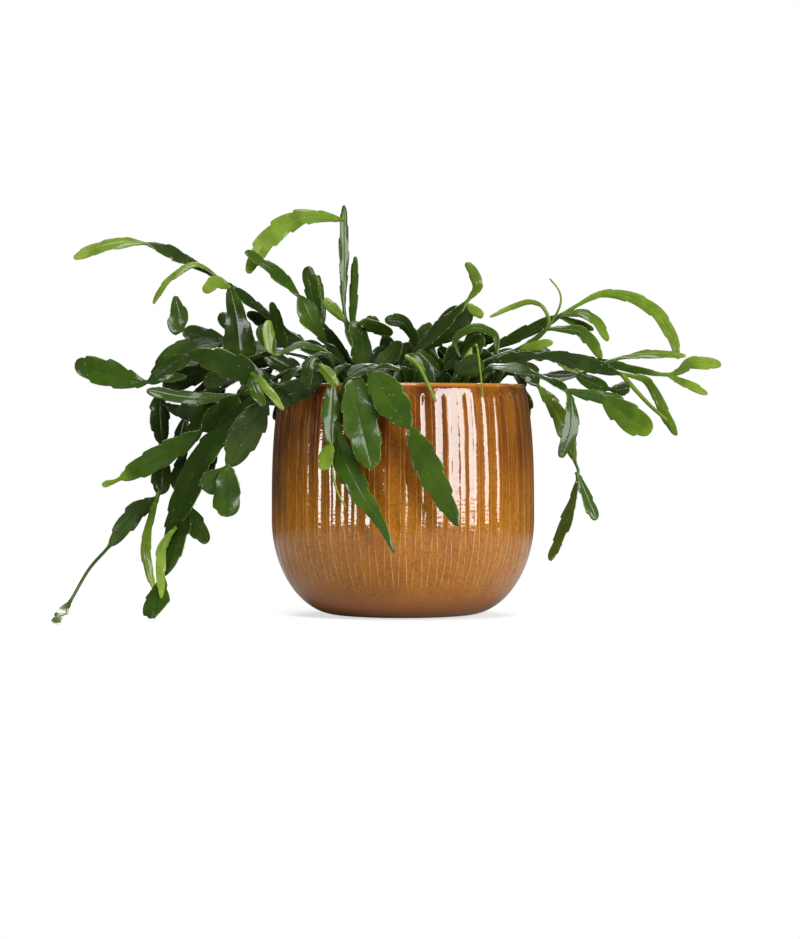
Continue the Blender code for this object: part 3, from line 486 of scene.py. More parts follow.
stalkWidth = 3.0
old, mid, fresh, new = 0, 0.85, 1.42, 2
front, back = (0, -1, 0.4), (0, 1, 0.4)
rooting = {"soilTop": 118, "straight": 3, "depth": 11.65}
stems = {
    "stem_left_01": (front, 15, (
        ((-30, 14), (-42, 15, 142), (8, old, 10, (-70, 14, 172)),
         (9, old, 15, (-112, 10, 204)), (11, old, 10, (-135, 8, 217), (-157, 6, 226)),
         (10, new, (-180, 5, 225), (-201, 4, 217))),
        ((-70, 14, 171), (9, old, (-96, 18, 184))),
        ((-111, 10, 203), (5.5, new, 30, (-126, 4, 213), (-143, 0, 203), (-152, -2, 189))),
    )),
    "stem_left_02": (front, 20, (
        ((-34, -12), (-50, -17, 152), (10, old, 40, (-72, -20, 159)),
         (12, old, 60, (-101, -21, 153))),
        ((-98, -21, 152), ((25, 9), old, (-100, -20, 177), (-105, -18, 201))),
        ((-97, -21, 154), (12, old, (-120, -17, 139))),
        ((-104, -19, 198), (8.5, new, (-113, -21, 201), (-120, -22, 195))),
    )),
    "stem_left_03": (front, 25, (
        ((-40, 4), (-54, 4, 152), (12, old, 30, (-72, 0, 160)),
         (12, old, 20, (-109, -5, 165)), (21, old, (-131, -8, 160), (-152, -10, 145))),
        ((-107, -4, 165), (13, old, (-134, 2, 173)),
         ((16, 8), mid, (-137, 3, 184), (-139, 4, 194))),
        ((-90, -2, 163), (12, old, (-112, 2, 183))),
        ((-70, 0, 158), (7, mid, (-80, -4, 190))),
    )),
    "stem_left_04": (front, -20, (
        ((-30, -26), (-44, -32, 147), (8, old, 60, (-62, -38, 149), (-76, -43, 139)),
         (16.5, old, (-101, -45, 150), (-127, -45, 156)), (11, old, 20, (-152, -40, 141)),
         (16.5, mid, (-175, -38, 146), (-196, -36, 152))),
        ((-150, -40, 142), (5, mid, (-129, -38, 144))),
        ((-90, -45, 145), (8, mid, (-88, -58, 139), (-82, -64, 126))),
        ((-90, -45, 146), (5.5, new, (-82, -61, 139), (-70, -68, 124))),
    )),
    "stem_left_05": (front, 30, (
        ((-22, -18), (-40, -24, 154), (6, mid, (-60, -27, 163), (-78, -30, 158)),
         (8, new, (-81, -31, 178))),
        ((-77, -30, 158), (10, mid, (-86, -27, 175))),
    )),
    "stem_left_06": (front, -30, (
        ((-28, -40), (-36, -52, 143), (5, old, 40, (-43, -62, 147)),
         (13, old, (-62, -60, 136), (-80, -54, 128)), (18, old, (-92, -53, 112), (-104, -51, 91)),
         (13, mid, (-119, -49, 77))),
        ((-104, -52, 92), (18, mid, (-104, -58, 61))),
        ((-40, -57, 145), (4, old, (-43, -60, 155), (-50, -64, 157)),
         (8, old, (-56, -69, 149), (-56, -72, 136))),
        ((-46, -62, 145), (stalkWidth, mid, (-48, -73, 150)), (7, new, (-38, -85, 138))),
    )),
    "stem_left_07": (front, 35, (
        ((-44, -22), (-58, -28, 146), (9, old, 40, (-70, -30, 147), (-82, -32, 139)),
         (10, old, 10, (-98, -36, 121)), (20, old, (-120, -38, 95), (-134, -40, 58))),
    )),
    "stem_left_08": (front, -25, (
        ((-50, -8), (-62, -12, 145), (7, old, 50, (-76, -16, 144)),
         (12, old, 10, (-98, -22, 134)), (13, old, (-121, -24, 112)),
         (14, mid, (-145, -26, 97), (-170, -27, 83)), (4, new, (-181, -27, 79))),
        ((-98, -22, 133), (11, mid, (-126, -18, 131), (-155, -15, 136))),
        ((-99, -22, 132), (12, old, (-112, -29, 100)), (11, old, (-124, -32, 76))),
        ((-76, -16, 143), (14, old, (-97, -11, 117))),
        ((-62, -12, 146), (14, old, (-84, -9, 158))),
    )),
    "stem_left_09": (front, 30, (
        ((-56, 1), (-65, -1, 146), (11, old, 40, (-80, -5, 150)),
         (14, old, 20, (-110, -11, 137)), (14, old, (-130, -14, 104)), (10, old, (-137, -20, 76)),
         (17, old, (-135, -32, 52), (-143, -43, 25)), (16, mid, (-146, -52, 10), (-147, -62, 2))),
        ((-136, -22, 72), (13, mid, (-118, -28, 44))),
        ((-108, -10, 137), (13, old, (-137, -5, 121))),
        ((-136, -32, 54), (6.5, new, (-144, -42, 40), (-143, -52, 12))),
    )),
    "stem_left_10": (front, -35, (
        ((-50, 14), (-62, 12, 146), (11, old, 40, (-78, 10, 151)),
         (12, old, 20, (-112, 7, 150)), (12, old, 10, (-146, 4, 136)), (13, old, (-148, 2, 104)),
         (13, old, (-149, -2, 73)), (11, mid, (-163, -6, 62), (-178, -10, 42)),
         (2, mid, (-190, -14, 28), (-200, -22, 10)), (6, mid, 35, (-204, -34, 3), (-205, -52, 1.6)),
         (5, new, 35, (-203, -76, 1.8), (-198, -98, 2.2))),
        ((-149, -2, 75), (6.7, new, (-156, -10, 42), (-151, -14, 16))),
        ((-147, 3, 128), (8, old, (-124, 0, 119))),
        ((-110, 7, 149), (14, old, (-132, 13, 122)), (12, old, (-137, 15, 98))),
        ((-80, 10, 150), (15, old, (-104, 18, 127))),
        ((-110, 7, 151), (13, old, (-136, 15, 155))),
    )),
    "stem_right_01": (front, 20, (
        ((22, 6), (34, 4, 140), (7, old, (47, 2, 157)),
         (8, old, 10, (71, 0, 170), (96, -3, 182)),
         (8, new, (118, -5, 194), (137, -7, 193), (153, -9, 184), (163, -10, 169), (167, -11, 155))),
        ((95, -3, 181), (8, fresh, (107, -8, 183), (117, -11, 178), (124, -14, 166))),
        ((95, -3, 181), (6, fresh, (116, -4, 173))),
    )),
    "stem_right_02": (front, -25, (
        ((30, -14), (39, -18, 143), (4, old, (47, -20, 152)),
         (4, old, (71, -22, 162)), (4, mid, (87, -24, 174)),
         (3.5, new, (84, -25, 186), (75, -26, 189), (63, -26, 185), (52, -26, 180))),
        ((87, -24, 173), (1.6, new, (94, -27, 186), (94, -28, 195), (88, -28, 203))),
        ((87, -24, 173), (8, fresh, (104, -28, 172), (112, -30, 166), (119, -32, 155))),
        ((70, -22, 161), (6, new, (90, -28, 165))),
    )),
    "stem_right_03": (front, 25, (
        ((40, 8), (56, 9, 147), (6, old, (76, 10, 158)),
         (5.5, mid, (118, 10, 154), (161, 8, 146)), (8, new, (177, 8, 153), (195, 8, 152))),
        ((162, 8, 146), (7, new, (186, 4, 134))),
    )),
    "stem_right_04": (front, -20, (
        ((48, -10), (62, -12, 146), (12, old, -20, (84, -13, 145)),
         (8, old, (106, -14, 146)), (2.2, mid, (129, -15, 155)),
         (7, fresh, (150, -15, 158), (171, -15, 157))),
        ((104, -14, 146), (9.5, mid, (124, -18, 137)), (9, old, (137, -18, 138))),
    )),
    "stem_right_05": (front, 30, (
        ((34, -26), (50, -32, 148), (8, old, (80, -36, 157)),
         (9, old, (104, -37, 153), (129, -37, 146)),
         (6, fresh, (146, -38, 141), (157, -41, 120), (163, -43, 109))),
        ((131, -37, 145), (stalkWidth, new, (146, -42, 128), (157, -46, 118))),
    )),
    "stem_right_06": (front, -30, (
        ((40, -38), (49, -43, 147), (11, old, -10, (64, -48, 149), (79, -50, 145)),
         (7.5, old, -10, (97, -52, 135)), (10, mid, (99, -55, 115), (93, -57, 96))),
        ((96, -52, 136), (8, mid, (115, -50, 132), (131, -48, 130))),
        ((118, -50, 132), (16.5, fresh, (132, -51, 121), (147, -52, 111))),
    )),
    "stem_right_07": (front, 40, (
        ((52, -24), (60, -24, 147), (11, old, -60, (74, -23, 148), (81, -23, 139)),
         (9.5, fresh, (90, -25, 128), (97, -27, 114), (103, -29, 94)), (1.8, mid, (105, -29, 84)),
         (8, mid, (98, -31, 58), (88, -33, 34))),
        ((104, -29, 87), (9, mid, (110, -28, 72), (116, -27, 58))),
    )),
    "stem_front_01": (front, 10, (
        ((-8, -44), (-11, -55, 145), (11, old, 15, (-21, -68, 149), (-32, -77, 143))),
        ((-28, -75, 145), (22, mid, (-25, -84, 120), (-18, -88, 90))),
        ((-30, -76, 145), (11, mid, (-36, -75, 116))),
    )),
    "stem_front_02": (front, -20, (
        ((-20, -32), (-28, -50, 147), (4, old, (-36, -66, 149), (-40, -76, 143)),
         (11, mid, (-42, -80, 124), (-42, -82, 103))),
        ((-42, -82, 105), (10, new, (-47, -84, 89))),
        ((-42, -82, 105), (1.6, new, (-41, -84, 88), (-38, -85, 76), (-33, -85, 67))),
        ((-42, -80, 118), ((22, 4, 1), mid, (-35, -79, 96), (-25, -84, 76), (-14, -88, 60), (-5, -90, 41))),
    )),
    "stem_front_03": (front, 15, (
        ((4, -38), (0, -56, 145), (5, old, (-5, -71, 149), (-17, -81, 147)),
         (20, mid, (-8, -87, 131), (4, -90, 114)),
         ((24, 9, 1.2), mid, (17, -92, 86), (32, -93, 57))),
    )),
    "stem_front_04": (front, 0, (
        ((14, -46), (12, -54, 148), (8, mid, (2, -62, 155)),
         (stalkWidth, new, (9, -70, 150), (15, -78, 138), (19, -81, 129))),
    )),
    "stem_crown_01": (front, 35, (
        ((-18, -4), (-32, -9, 146), (8, old, (-46, -14, 164)),
         (14.5, mid, (-56, -16, 179), (-63, -17, 193)), (11, mid, (-78, -18, 208), (-95, -19, 220))),
        ((-31, -8, 144), (14, old, (-52, -5, 153))),
    )),
    "stem_crown_02": (front, -40, (
        ((-16, 8), (-30, 8, 148), (7, old, (-50, 5, 178)),
         (10, mid, (-55, 3, 196), (-58, 2, 212))),
        ((-49, 5, 176), (6, mid, (-52, 9, 207))),
        ((-25, 8, 137), (13, old, (-12, 11, 163))),
    )),
    "stem_crown_03": (front, 25, (
        ((-10, -6), (-22, -5, 146), (8, old, 20, (-35, -2, 180)),
         (6.5, mid, (-36, -1, 214), (-36, 0, 249))),
        ((-36, -1, 240), (13, new, (-56, -4, 242), (-71, -6, 237), (-85, -9, 224), (-94, -12, 207))),
        ((-31, -3, 168), (6, mid, (-30, 2, 195), (-29, 3, 218))),
        ((-35, -2, 178), (7, new, (-48, -6, 192))),
        ((-20, -5, 142), (13, old, (-1, -1, 166))),
    )),
    "stem_crown_04": (front, 45, (
        ((-12, -24), (-22, -30, 146), (14, old, (-25, -33, 160), (-26, -34, 176)),
         (8, mid, 20, (-6, -37, 170))),
    )),
    "stem_crown_05": (front, -35, (
        ((-2, -14), (3, -20, 152), (10, old, (20, -23, 171), (38, -25, 189)),
         (7, new, (45, -25, 200), (38, -25, 213))),
        ((38, -25, 188), (6, new, (48, -27, 180))),
        ((1, -17, 138), (11, old, (18, -21, 153))),
    )),
    "stem_crown_06": (front, 40, (
        ((8, -2), (12, -7, 158), (15, old, (26, -9, 173), (41, -10, 186))),
        ((12, -7, 156), (8, old, (2, -10, 176), (-11, -13, 179))),
    )),
    "stem_crown_07": (front, -25, (
        ((18, -32), (24, -38, 146), (15, old, (36, -41, 156), (48, -43, 168))),
        ((34, -41, 155), (5.5, mid, (31, -43, 166), (42, -45, 173), (54, -46, 169), (56, -47, 157))),
        ((42, -42, 162), (1.6, new, (44, -56, 160), (47, -64, 132))),
        ((41, -42, 161), (5, new, (37, -47, 151))),
        ((23, -37, 144), (11, old, (8, -40, 159))),
    )),
    "stem_crown_08": (front, 50, (
        ((20, 16), (26, 18, 142), (12, old, (38, 16, 166)),
         (10, old, (56, 12, 170))),
        ((26, 18, 143), (13, old, (8, 14, 161))),
    )),
    "stem_crown_09": (front, -45, (
        ((-4, 20), (-6, 22, 144), (12, old, (-12, 24, 170)),
         (9, mid, (-24, 26, 180))),
        ((-7, 22, 146), (13, old, (-32, 25, 160))),
    )),
    "stem_crown_10": (back, 50, (
        ((-6, 33), (-4, 36, 146), (12, old, (4, 42, 166)), (9, mid, (18, 46, 178))),
    )),
    "stem_crown_11": (front, 30, (((26, -46), (31, -50, 144), (13, old, (47, -52, 153))),)),
    "stem_crown_12": (front, 45, (
        ((28, -4), (34, -6, 144), (13, old, (54, -6, 158))),
        ((31, -5, 134), (11, old, (18, -6, 148))),
    )),
    "stem_crown_13": (front, -35, (((20, 32), (24, 34, 145), (14, old, (36, 38, 160))),)),
    "stem_crown_14": (front, 35, (((-17, 24), (-22, 26, 144), (14, old, (-40, 30, 157))),)),
    "stem_crown_15": (front, 30, (((54, 4), (57, 2, 146), (12, old, (72, -2, 153))),)),
    "stem_crown_16": (front, 25, (((45, 35), (47, 36, 130), (14, old, (54, 36, 153))),)),
    "stem_crown_17": (front, 20, (((35, 11), (36, 10, 130), (14, old, (44, 9, 159))),)),
    "stem_crown_18": (front, 30, (((2, 8), (2, 7, 130), (14, old, (5, 4, 157))),)),
    "stem_crown_19": (front, 20, (((23, 52), (26, 52, 130), (13, old, (32, 53, 147))),)),
    "stem_crown_20": (front, 20, (((8, -44), (9, -45, 130), (13, old, (15, -46, 152))),)),
    "stem_crown_21": (front, 30, (((12, 23), (12, 23, 130), (14, old, (20, 24, 157))),)),
    "stem_crown_22": (front, 25, (((44, 15), (46, 16, 130), (13, old, (55, 18, 150))),)),
    "stem_crown_23": (front, 25, (((-3, -36), (-3, -37, 130), (14, old, (2, -39, 150))),)),
    "stem_back_01": (back, -35, (
        ((-40, 28), (-52, 36, 146), (8, old, (-58, 52, 149), (-62, 64, 140)),
         (15, old, (-58, 77, 110)), (14, old, (-54, 82, 80)), (10, mid, (-58, 84, 54))),
    )),
    "stem_back_02": (back, 30, (
        ((-28, 30), (-40, 42, 150), (9, old, (-62, 60, 167)),
         (11, old, (-86, 72, 168)), (9, new, (-106, 78, 156))),
        ((-84, 71, 168), (14, old, (-94, 66, 142))),
    )),
    "stem_back_03": (back, 40, (
        ((-22, 42), (-28, 54, 146), (8, old, (-34, 66, 149), (-38, 76, 142)),
         (16, old, (-44, 84, 112)), (14, old, (-46, 90, 76)), (8, new, (-52, 92, 50))),
        ((-29, 57, 147), (14, old, (-49, 66, 158))),
    )),
    "stem_back_04": (back, -30, (
        ((-6, 46), (-8, 56, 146), (6, old, (-10, 70, 150), (-11, 80, 142)),
         (18, old, (-8, 86, 108)), (12, mid, (-4, 90, 78))),
        ((-8, 60, 147), (14, old, (-32, 66, 164))),
    )),
    "stem_back_05": (back, 45, (
        ((6, 30), (10, 44, 150), (9, old, (14, 66, 172)), (9, old, (18, 92, 170)),
         (8, new, (20, 112, 152))),
    )),
    "stem_back_06": (back, -40, (
        ((14, 46), (18, 56, 146), (7, old, (22, 68, 149), (25, 78, 141)),
         (15, old, (28, 86, 108)), (13, old, (24, 92, 72)), (8, new, (26, 94, 44))),
        ((19, 59, 147), (14, old, (2, 62, 166))),
    )),
    "stem_back_07": (back, 35, (
        ((30, 34), (40, 44, 146), (8, old, (47, 56, 149), (52, 66, 140)),
         (16, old, (54, 78, 108)), (12, mid, (50, 82, 78))),
        ((41, 45, 147), (14, old, (22, 50, 163))),
    )),
    "stem_back_08": (back, -30, (
        ((36, 22), (48, 28, 150), (9, old, (72, 40, 160)), (9, old, (94, 50, 158)),
         (9, new, (112, 56, 148))),
    )),
    "stem_back_09": (back, 40, (
        ((52, 20), (60, 24, 147), (12, old, (68, 36, 150), (75, 45, 138)),
         (14, old, (72, 60, 110)), (12, mid, (69, 67, 82))),
    )),
    "stem_back_10": (back, -45, (
        ((-54, 22), (-60, 24, 146), (7, old, (-68, 35, 149), (-75, 43, 138)),
         (13, old, (-73, 58, 108)), (12, mid, (-71, 65, 78))),
    )),
}


# stem skin: waxy green, deep on old pads and lime on young ones, with a pale line along each margin

skin = {
    "old": (0.017, 0.038, 0.0035, 1), "mid": (0.034, 0.075, 0.0045, 1), "new": (0.120, 0.205, 0.011, 1),
    "lime": (0.230, 0.330, 0.035, 1), "margin": (0.11, 0.18, 0.022, 1), "bark": (0.060, 0.050, 0.020, 1),
    "tip": (0.30, 0.15, 0.05, 1), "fleck": (0.55, 0.60, 0.50, 1), "mottleAndShade": (0.009, 0.019, 0.0025, 1),
    # how fine each pattern is, where a higher number is finer
    "patches": 95, "lights": 48, "spots": 330.0, "spotPatches": 60, "sheen": 130, "puckers": 210,
    "pores": 700,
}


def makeSkin():
    made, kit, shader = startMaterial("stemSkin", Coat_Weight=0.36, Coat_Roughness=0.11,
                                      Specular_IOR_Level=0.16)
    place = kit.place()
    blade = kit.node("ShaderNodeAttribute", {"attribute_name": "blade"})
    age, across, along = kit.node("ShaderNodeSeparateColor", Color=blade.outputs["Color"]).outputs
    pick, bark = blade.outputs["Alpha"], kit.mark("bark")
    # colour by age, younger at a growing tip, with every pad a little lighter or darker than the last
    growing = kit.times(kit.band(age, 0.30, 0.50), kit.band(along, 0.50, 1.0, 0.0, 0.24))
    years = kit.calc("ADD", kit.calc("ADD", age, growing), kit.calc("MULTIPLY_ADD", pick, 0.16, -0.08))
    kit.coat(kit.band(years, 0.02, 0.52), skin["mid"], under=skin["old"])
    kit.coat(kit.band(years, 0.55, 1.0), skin["new"])
    young = kit.band(age, 0.70, 1.0)
    kit.coat(kit.times(young, kit.band(along, 0.35, 1.0, 0.0, 0.6)), skin["lime"])
    # cloudy patches, darker and lighter
    patch = kit.band(kit.noise(place, skin["patches"], 4), 0.36, 0.66)
    kit.coat(kit.times(patch, 0.38), skin["mottleAndShade"])
    kit.coat(kit.band(kit.noise(place, skin["lights"], 2), 0.48, 0.70, 0.0, 0.16), skin["new"])
    # painted shade along the midrib groove, then the margin, tip and bark
    rib = kit.times(kit.band(across, 0.0, 0.055, 0.5, 0.0), kit.band(age, 0.3, 0.9, 1.0, 0.25))
    kit.coat(rib, skin["mottleAndShade"])
    kit.coat(kit.times(kit.band(across, 0.93, 1.0), 0.55), skin["margin"])
    redder = kit.times(kit.band(along, 0.90, 1.0), kit.band(pick, 0.45, 0.75, 0.0, 0.7), young)
    kit.coat(redder, skin["tip"])
    kit.coat(bark, skin["bark"])
    # dried water spots, here and there on old pads
    spot = kit.node("ShaderNodeTexVoronoi", Vector=place, Scale=skin["spots"]).outputs["Distance"]
    few = kit.band(kit.noise(place, skin["spotPatches"], 1), 0.52, 0.60)
    few = kit.times(few, kit.band(age, 0.30, 0.70, 1.0, 0.0))
    kit.coat(kit.times(kit.band(spot, 0.07, 0.12, 0.6, 0.0), few), skin["fleck"])
    kit.wire(kit.colour, shader.inputs["Base Color"])
    rough = kit.band(kit.noise(place, skin["sheen"], 3), 0.30, 0.70, 0.26, 0.40)
    rough = kit.calc("MULTIPLY_ADD", bark, 0.4, rough)
    rough = kit.calc("MULTIPLY_ADD", young, 0.14, rough, clamp=True)
    kit.wire(rough, shader.inputs["Roughness"])
    pores = kit.times(kit.noise(place, skin["pores"], 2), 0.06)
    pucker = kit.calc("ADD", kit.noise(place, skin["puckers"], 3), pores)
    kit.bump(shader, pucker, kit.band(age, 0.55, 0.95, 0.38, 0.11), 0.0006)
    return made


# how a pad is shaped; lengths in millimetres

pad = {
    # how closely its rows stand, and how thick it is
    "step": 0.95, "stalkStep": 2.4, "stalkTaper": 0.4, "neckThick": 1.5, "edgeThick": 0.8, "ribThick": 2.0,
    # its outline: how wide its neck is, where it is fullest, its round end and its notches
    "neck": 2.6, "tip": 0.42, "fullestLate": 1.45, "fullestEarly": 0.6, "slimmer": 0.42, "fullness": 0.52,
    "endRound": 0.07, "notch": 0.24, "deepestNotch": 1.8, "notchSpread": (0.55, 1.15), "notchKinds": 7,
    "shoulder": 1.5, "stepFrom": 0.92, "stepOver": 0.08, "lobe": 6.6, "fewestLobes": 3, "mostLobes": 10,
    "firstLobe": 2.2,
    # its faces: how soon it turns and thins, its groove, keel, fold and wave, and where it takes the next age
    "sideRoll": -0.7, "edgeReach": 0.2, "turnReach": 0.3, "keel": 0.34, "groove": 0.20, "ribWide": 0.06,
    "fold": 0.11, "wave": 0.95, "waveLength": 27, "ageFrom": 0.8, "ageOver": 0.2, "woody": 34,
    "across": (-1, -0.985, -0.90, -0.68, -0.40, -0.16, -0.05, 0, 0.05, 0.16, 0.40, 0.68, 0.90, 0.985, 1),
}


def readPad(width, age, *rest):
    # width, turn, age and points; the turn is 0 where it is left out
    return (width, 0, age, *rest) if isinstance(rest[0], tuple) else (width, rest[0], age, *rest[1:])


def bladeHalf(share, foot, tip, late, last):
    # half width of a pad at a share of its length, narrow at its foot
    width = foot + (tip - foot) * share
    full = math.sin(math.pi * share ** late) ** pad["fullness"] if 0 < share < 1 else 0
    least = pad["tip"] * width if last and share > 0.5 else pad["neck"]
    half = 0.5 * max(min(least, width), width * full)
    left = (1 - share) / pad["endRound"]
    return half * math.sqrt(max(1 - (1 - left) ** 2, 0.02)) if last and left < 1 else half


def toothed(half, lobe, inner, depths):
    # shoulders that lean to the tip: the margin swells and then steps in at each notch
    part = lobe % 1
    depth = min(pad["notch"] * half, pad["deepestNotch"]) * depths[int(lobe) % len(depths)]
    inset = (1 - part) ** pad["shoulder"]
    if part >= pad["stepFrom"]:
        inset = ease((part - pad["stepFrom"]) / pad["stepOver"])
    return half - depth * inset * inner


def layStations(start, pads, roll, draw):
    # one row for each place along a run, as a dictionary of what the blade is like there
    rows, notches = [], []
    widen = 1 / math.cos(math.radians(roll))
    begun, corner, before = 0, start, pads[0][1]
    for number, (width, twist, age, *through) in enumerate(pads):
        last = number == len(pads) - 1
        slim = draw.uniform(0, pad["slimmer"])
        # a pad is fullest past its middle, or early where it tapers
        foot, tip, late = width, width, pad["fullestLate"] - slim
        if isinstance(width, tuple):
            foot, tip, late = (*width, pad["fullestEarly"])[:3]
        length = sum((Vector(b) - Vector(a)).length for a, b in zip([corner, *through], through))
        stalk = foot <= stalkWidth
        depths = [draw.uniform(*pad["notchSpread"]) for each in range(pad["notchKinds"])]
        steps = max(math.ceil(length / pad["stalkStep" if stalk else "step"]), 4 * len(through))
        lobes = min(max(round(length / pad["lobe"]), pad["fewestLobes"]), pad["mostLobes"])
        pick = draw.random()
        nextAge = age if last else pads[number + 1][2]
        for step in range(0 if number == 0 else 1, steps + 1):
            share = step / steps
            lobe = share * lobes
            if stalk:
                left = right = rib = edge = foot / 2 * (1 - pad["stalkTaper"] * share if last else 1)
                thin = 0
            else:
                half = bladeHalf(share, foot * widen, tip * widen, late, last)
                inner = ease(min(lobe, lobes - lobe) * pad["firstLobe"])
                left = toothed(half, (lobe + 1) / 2, inner, depths)
                right = toothed(half, lobe / 2, inner, depths[::-1])
                thin = ease(min(share, 1 if last else 1 - share) / pad["edgeReach"])
                edge = 0.5 * (pad["neckThick"] + (pad["edgeThick"] - pad["neckThick"]) * thin)
                rib = 0.5 * pad["ribThick"]
            turned = before + (twist - before) * ease(share / pad["turnReach"])
            aged = age + (nextAge - age) * 0.5 * ease((share - pad["ageFrom"]) / pad["ageOver"])
            rows.append({"place": begun + share * len(through), "left": left, "right": right, "rib": rib,
                         "edge": edge, "thin": thin, "turn": turned + roll, "age": aged / 2, "along": share,
                         "pick": pick})
            begins = step and int(lobe) != int((step - 1) / steps * lobes)
            if begins and not stalk and foot > 4 and 0 < int(lobe) < lobes:
                notches.append((len(rows) - 1, int(lobe) % 2))
        begun += len(through)
        corner, before = through[-1], twist
    return rows, notches


def smoothPoint(points, place):
    index = min(int(place), len(points) - 2)
    share = place - index
    before, start, end, after = (points[min(max(index + k, 0), len(points) - 1)] for k in (-1, 0, 1, 2))
    leave, arrive, bend = (end - before) * 0.5, (after - start) * 0.5, end - start
    return (start + leave * share + (bend * 3 - leave * 2 - arrive) * share ** 2
            + (leave + arrive - bend * 2) * share ** 3)


def faceBlade(points, rows, facing):
    # the way the blade faces at each station, held steady where the run points at its own facing
    face = Vector(facing).normalized()
    normals, tangents, centres = [], [], []
    for row in rows:
        ahead = smoothPoint(points, min(row["place"] + 0.05, len(points) - 1))
        behind = smoothPoint(points, max(row["place"] - 0.05, 0))
        along = (ahead - behind).normalized()
        flat = face - along * face.dot(along)
        if flat.length < 0.3 and normals:
            flat = normals[-1] - along * normals[-1].dot(along)
        else:
            flat = Quaternion(along, math.radians(row["turn"])) @ flat
        flat.normalize()
        if normals and flat.dot(normals[-1]) < 0:
            flat.negate()
        normals.append(flat)
        tangents.append(along)
        centres.append(smoothPoint(points, row["place"]))
    # a short running mean takes out any quick twist
    eased = []
    for k, along in enumerate(tangents):
        mean = sum(normals[max(k - 4, 0):k + 5], Vector())
        mean -= along * mean.dot(along)
        eased.append(mean.normalized() if mean.length > 0.2 else normals[k])
    return centres, tangents, eased


def sweepRun(start, pads, facing, roll, isRoot, draw):
    # a closed blade along the run: its points, faces, a row of attribute values for each point, and knobs
    points = [Vector(start)] + [Vector(point) for _, _, _, *through in pads for point in through]
    rows, notches = layStations(start, pads, roll, draw)
    centres, tangents, normals = faceBlade(points, rows, facing)
    phase, gone = draw.uniform(0, 2 * math.pi), 0.0
    coords, values, tufts = [], [], []
    for k, row in enumerate(rows):
        gone += (centres[k] - centres[k - 1]).length if k else 0
        side = tangents[k].cross(normals[k])
        edge, rib, thin = row["edge"], row["rib"], row["thin"]
        half = max(row["left"], row["right"])
        fold = half * pad["fold"]
        sway = math.sin(2 * math.pi * gone / pad["waveLength"] + phase) * pad["wave"]
        sway = sway * thin * min(half / 8, 1)
        woody = ease(1 - gone / pad["woody"]) if isRoot else 0
        top, bottom = [], []
        for u in pad["across"]:
            # the midrib is a groove on the face and a keel on the back
            lens = edge * 0.55 + (rib - edge * 0.55) * (1 - abs(u)) ** 0.8
            middle = math.exp(-(u / pad["ribWide"]) ** 2) * thin
            if abs(u) > 0.95:
                lens = edge * (0.5 if abs(u) < 1 else 0)
            thick = lens * thin + rib * math.sqrt(max(1 - u * u, 0)) * (1 - thin)
            reach = row["left"] if u < 0 else row["right"]
            lift = (abs(u) * half * pad["fold"] - fold * 0.5) * thin + sway * u * abs(u)
            spot = centres[k] + side * (u * reach) + normals[k] * lift
            value = (row["age"], abs(u), row["along"], row["pick"], woody)
            top.append((spot + normals[k] * (thick - pad["groove"] * middle), value))
            if abs(u) < 1:
                bottom.append((spot - normals[k] * (thick + pad["keel"] * middle), value))
        ring = top + bottom[::-1]
        coords += [spot for spot, _ in ring]
        values += [value for _, value in ring]
    size = len(coords) // len(rows)
    faces = []
    for k in range(len(rows) - 1):
        for j in range(size):
            a, b = k * size + j, k * size + (j + 1) % size
            faces.append((a, b, b + size, a + size))
    faces += [tuple(range(size))[::-1], tuple(range((len(rows) - 1) * size, len(rows) * size))]
    for k, right in notches:
        side = tangents[k].cross(normals[k]) * (1 if right else -1)
        tufts.append((centres[k] + side * (rows[k]["right" if right else "left"] - 0.1), side))
    return coords, faces, values, tufts


def makeStem(name, facing, roll, runs, material, tufts):
    draw = random.Random(name)
    coords, faces, values = [], [], []
    for number, (start, *pads) in enumerate(runs):
        isRoot = number == 0
        if isRoot:
            # its stalk rises straight out of its hole, and then leans to where its first pad begins
            stalk = [(*start, rooting["soilTop"] + rooting["straight"]), pads[0]]
            pads = [(stalkWidth, old, point) for point in stalk] + pads[1:]
            start = (*start, rooting["soilTop"] - rooting["depth"])
        pads = [readPad(*each) for each in pads]
        leaning = roll if isRoot else pad["sideRoll"] * roll
        points, quads, marks, knobs = sweepRun(start, pads, facing, leaning, isRoot, draw)
        faces += [tuple(k + len(coords) for k in quad) for quad in quads]
        coords += points
        values += marks
        tufts += knobs
    mesh = plainMesh(name + "_skin", [spot * mm for spot in coords], faces)
    mesh.shade_smooth()
    shell = bmesh.new()
    shell.from_mesh(mesh)
    bmesh.ops.recalc_face_normals(shell, faces=shell.faces)
    shell.to_mesh(mesh)
    shell.free()
    mesh.materials.append(material)
    marks = np.array(values, dtype=np.float32)
    blade = mesh.attributes.new("blade", "FLOAT_COLOR", "POINT")
    blade.data.foreach_set("color", np.ascontiguousarray(marks[:, :4]).ravel())
    bark = mesh.attributes.new("bark", "FLOAT", "POINT")
    bark.data.foreach_set("value", np.ascontiguousarray(marks[:, 4]))
    made = addObject(name + "_skin", mesh)
    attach(made, "root")
    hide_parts(name)


# areoles: a tiny woolly knob sits in every notch

wool = {"Smallest": 0.28 * mm, "Largest": 0.52 * mm, "Seed": 5}
woolTints = {"olive": (0.16, 0.17, 0.06, 1), "straw": (0.52, 0.47, 0.30, 1)}


def makeWool():
    made, kit, shader = startMaterial("areoleWool", Roughness=0.9, Sheen_Weight=0.4)
    kit.coat(kit.noise(kit.place(), 180, 2), woolTints["straw"], under=woolTints["olive"])
    kit.wire(kit.colour, shader.inputs["Base Color"])
    return made


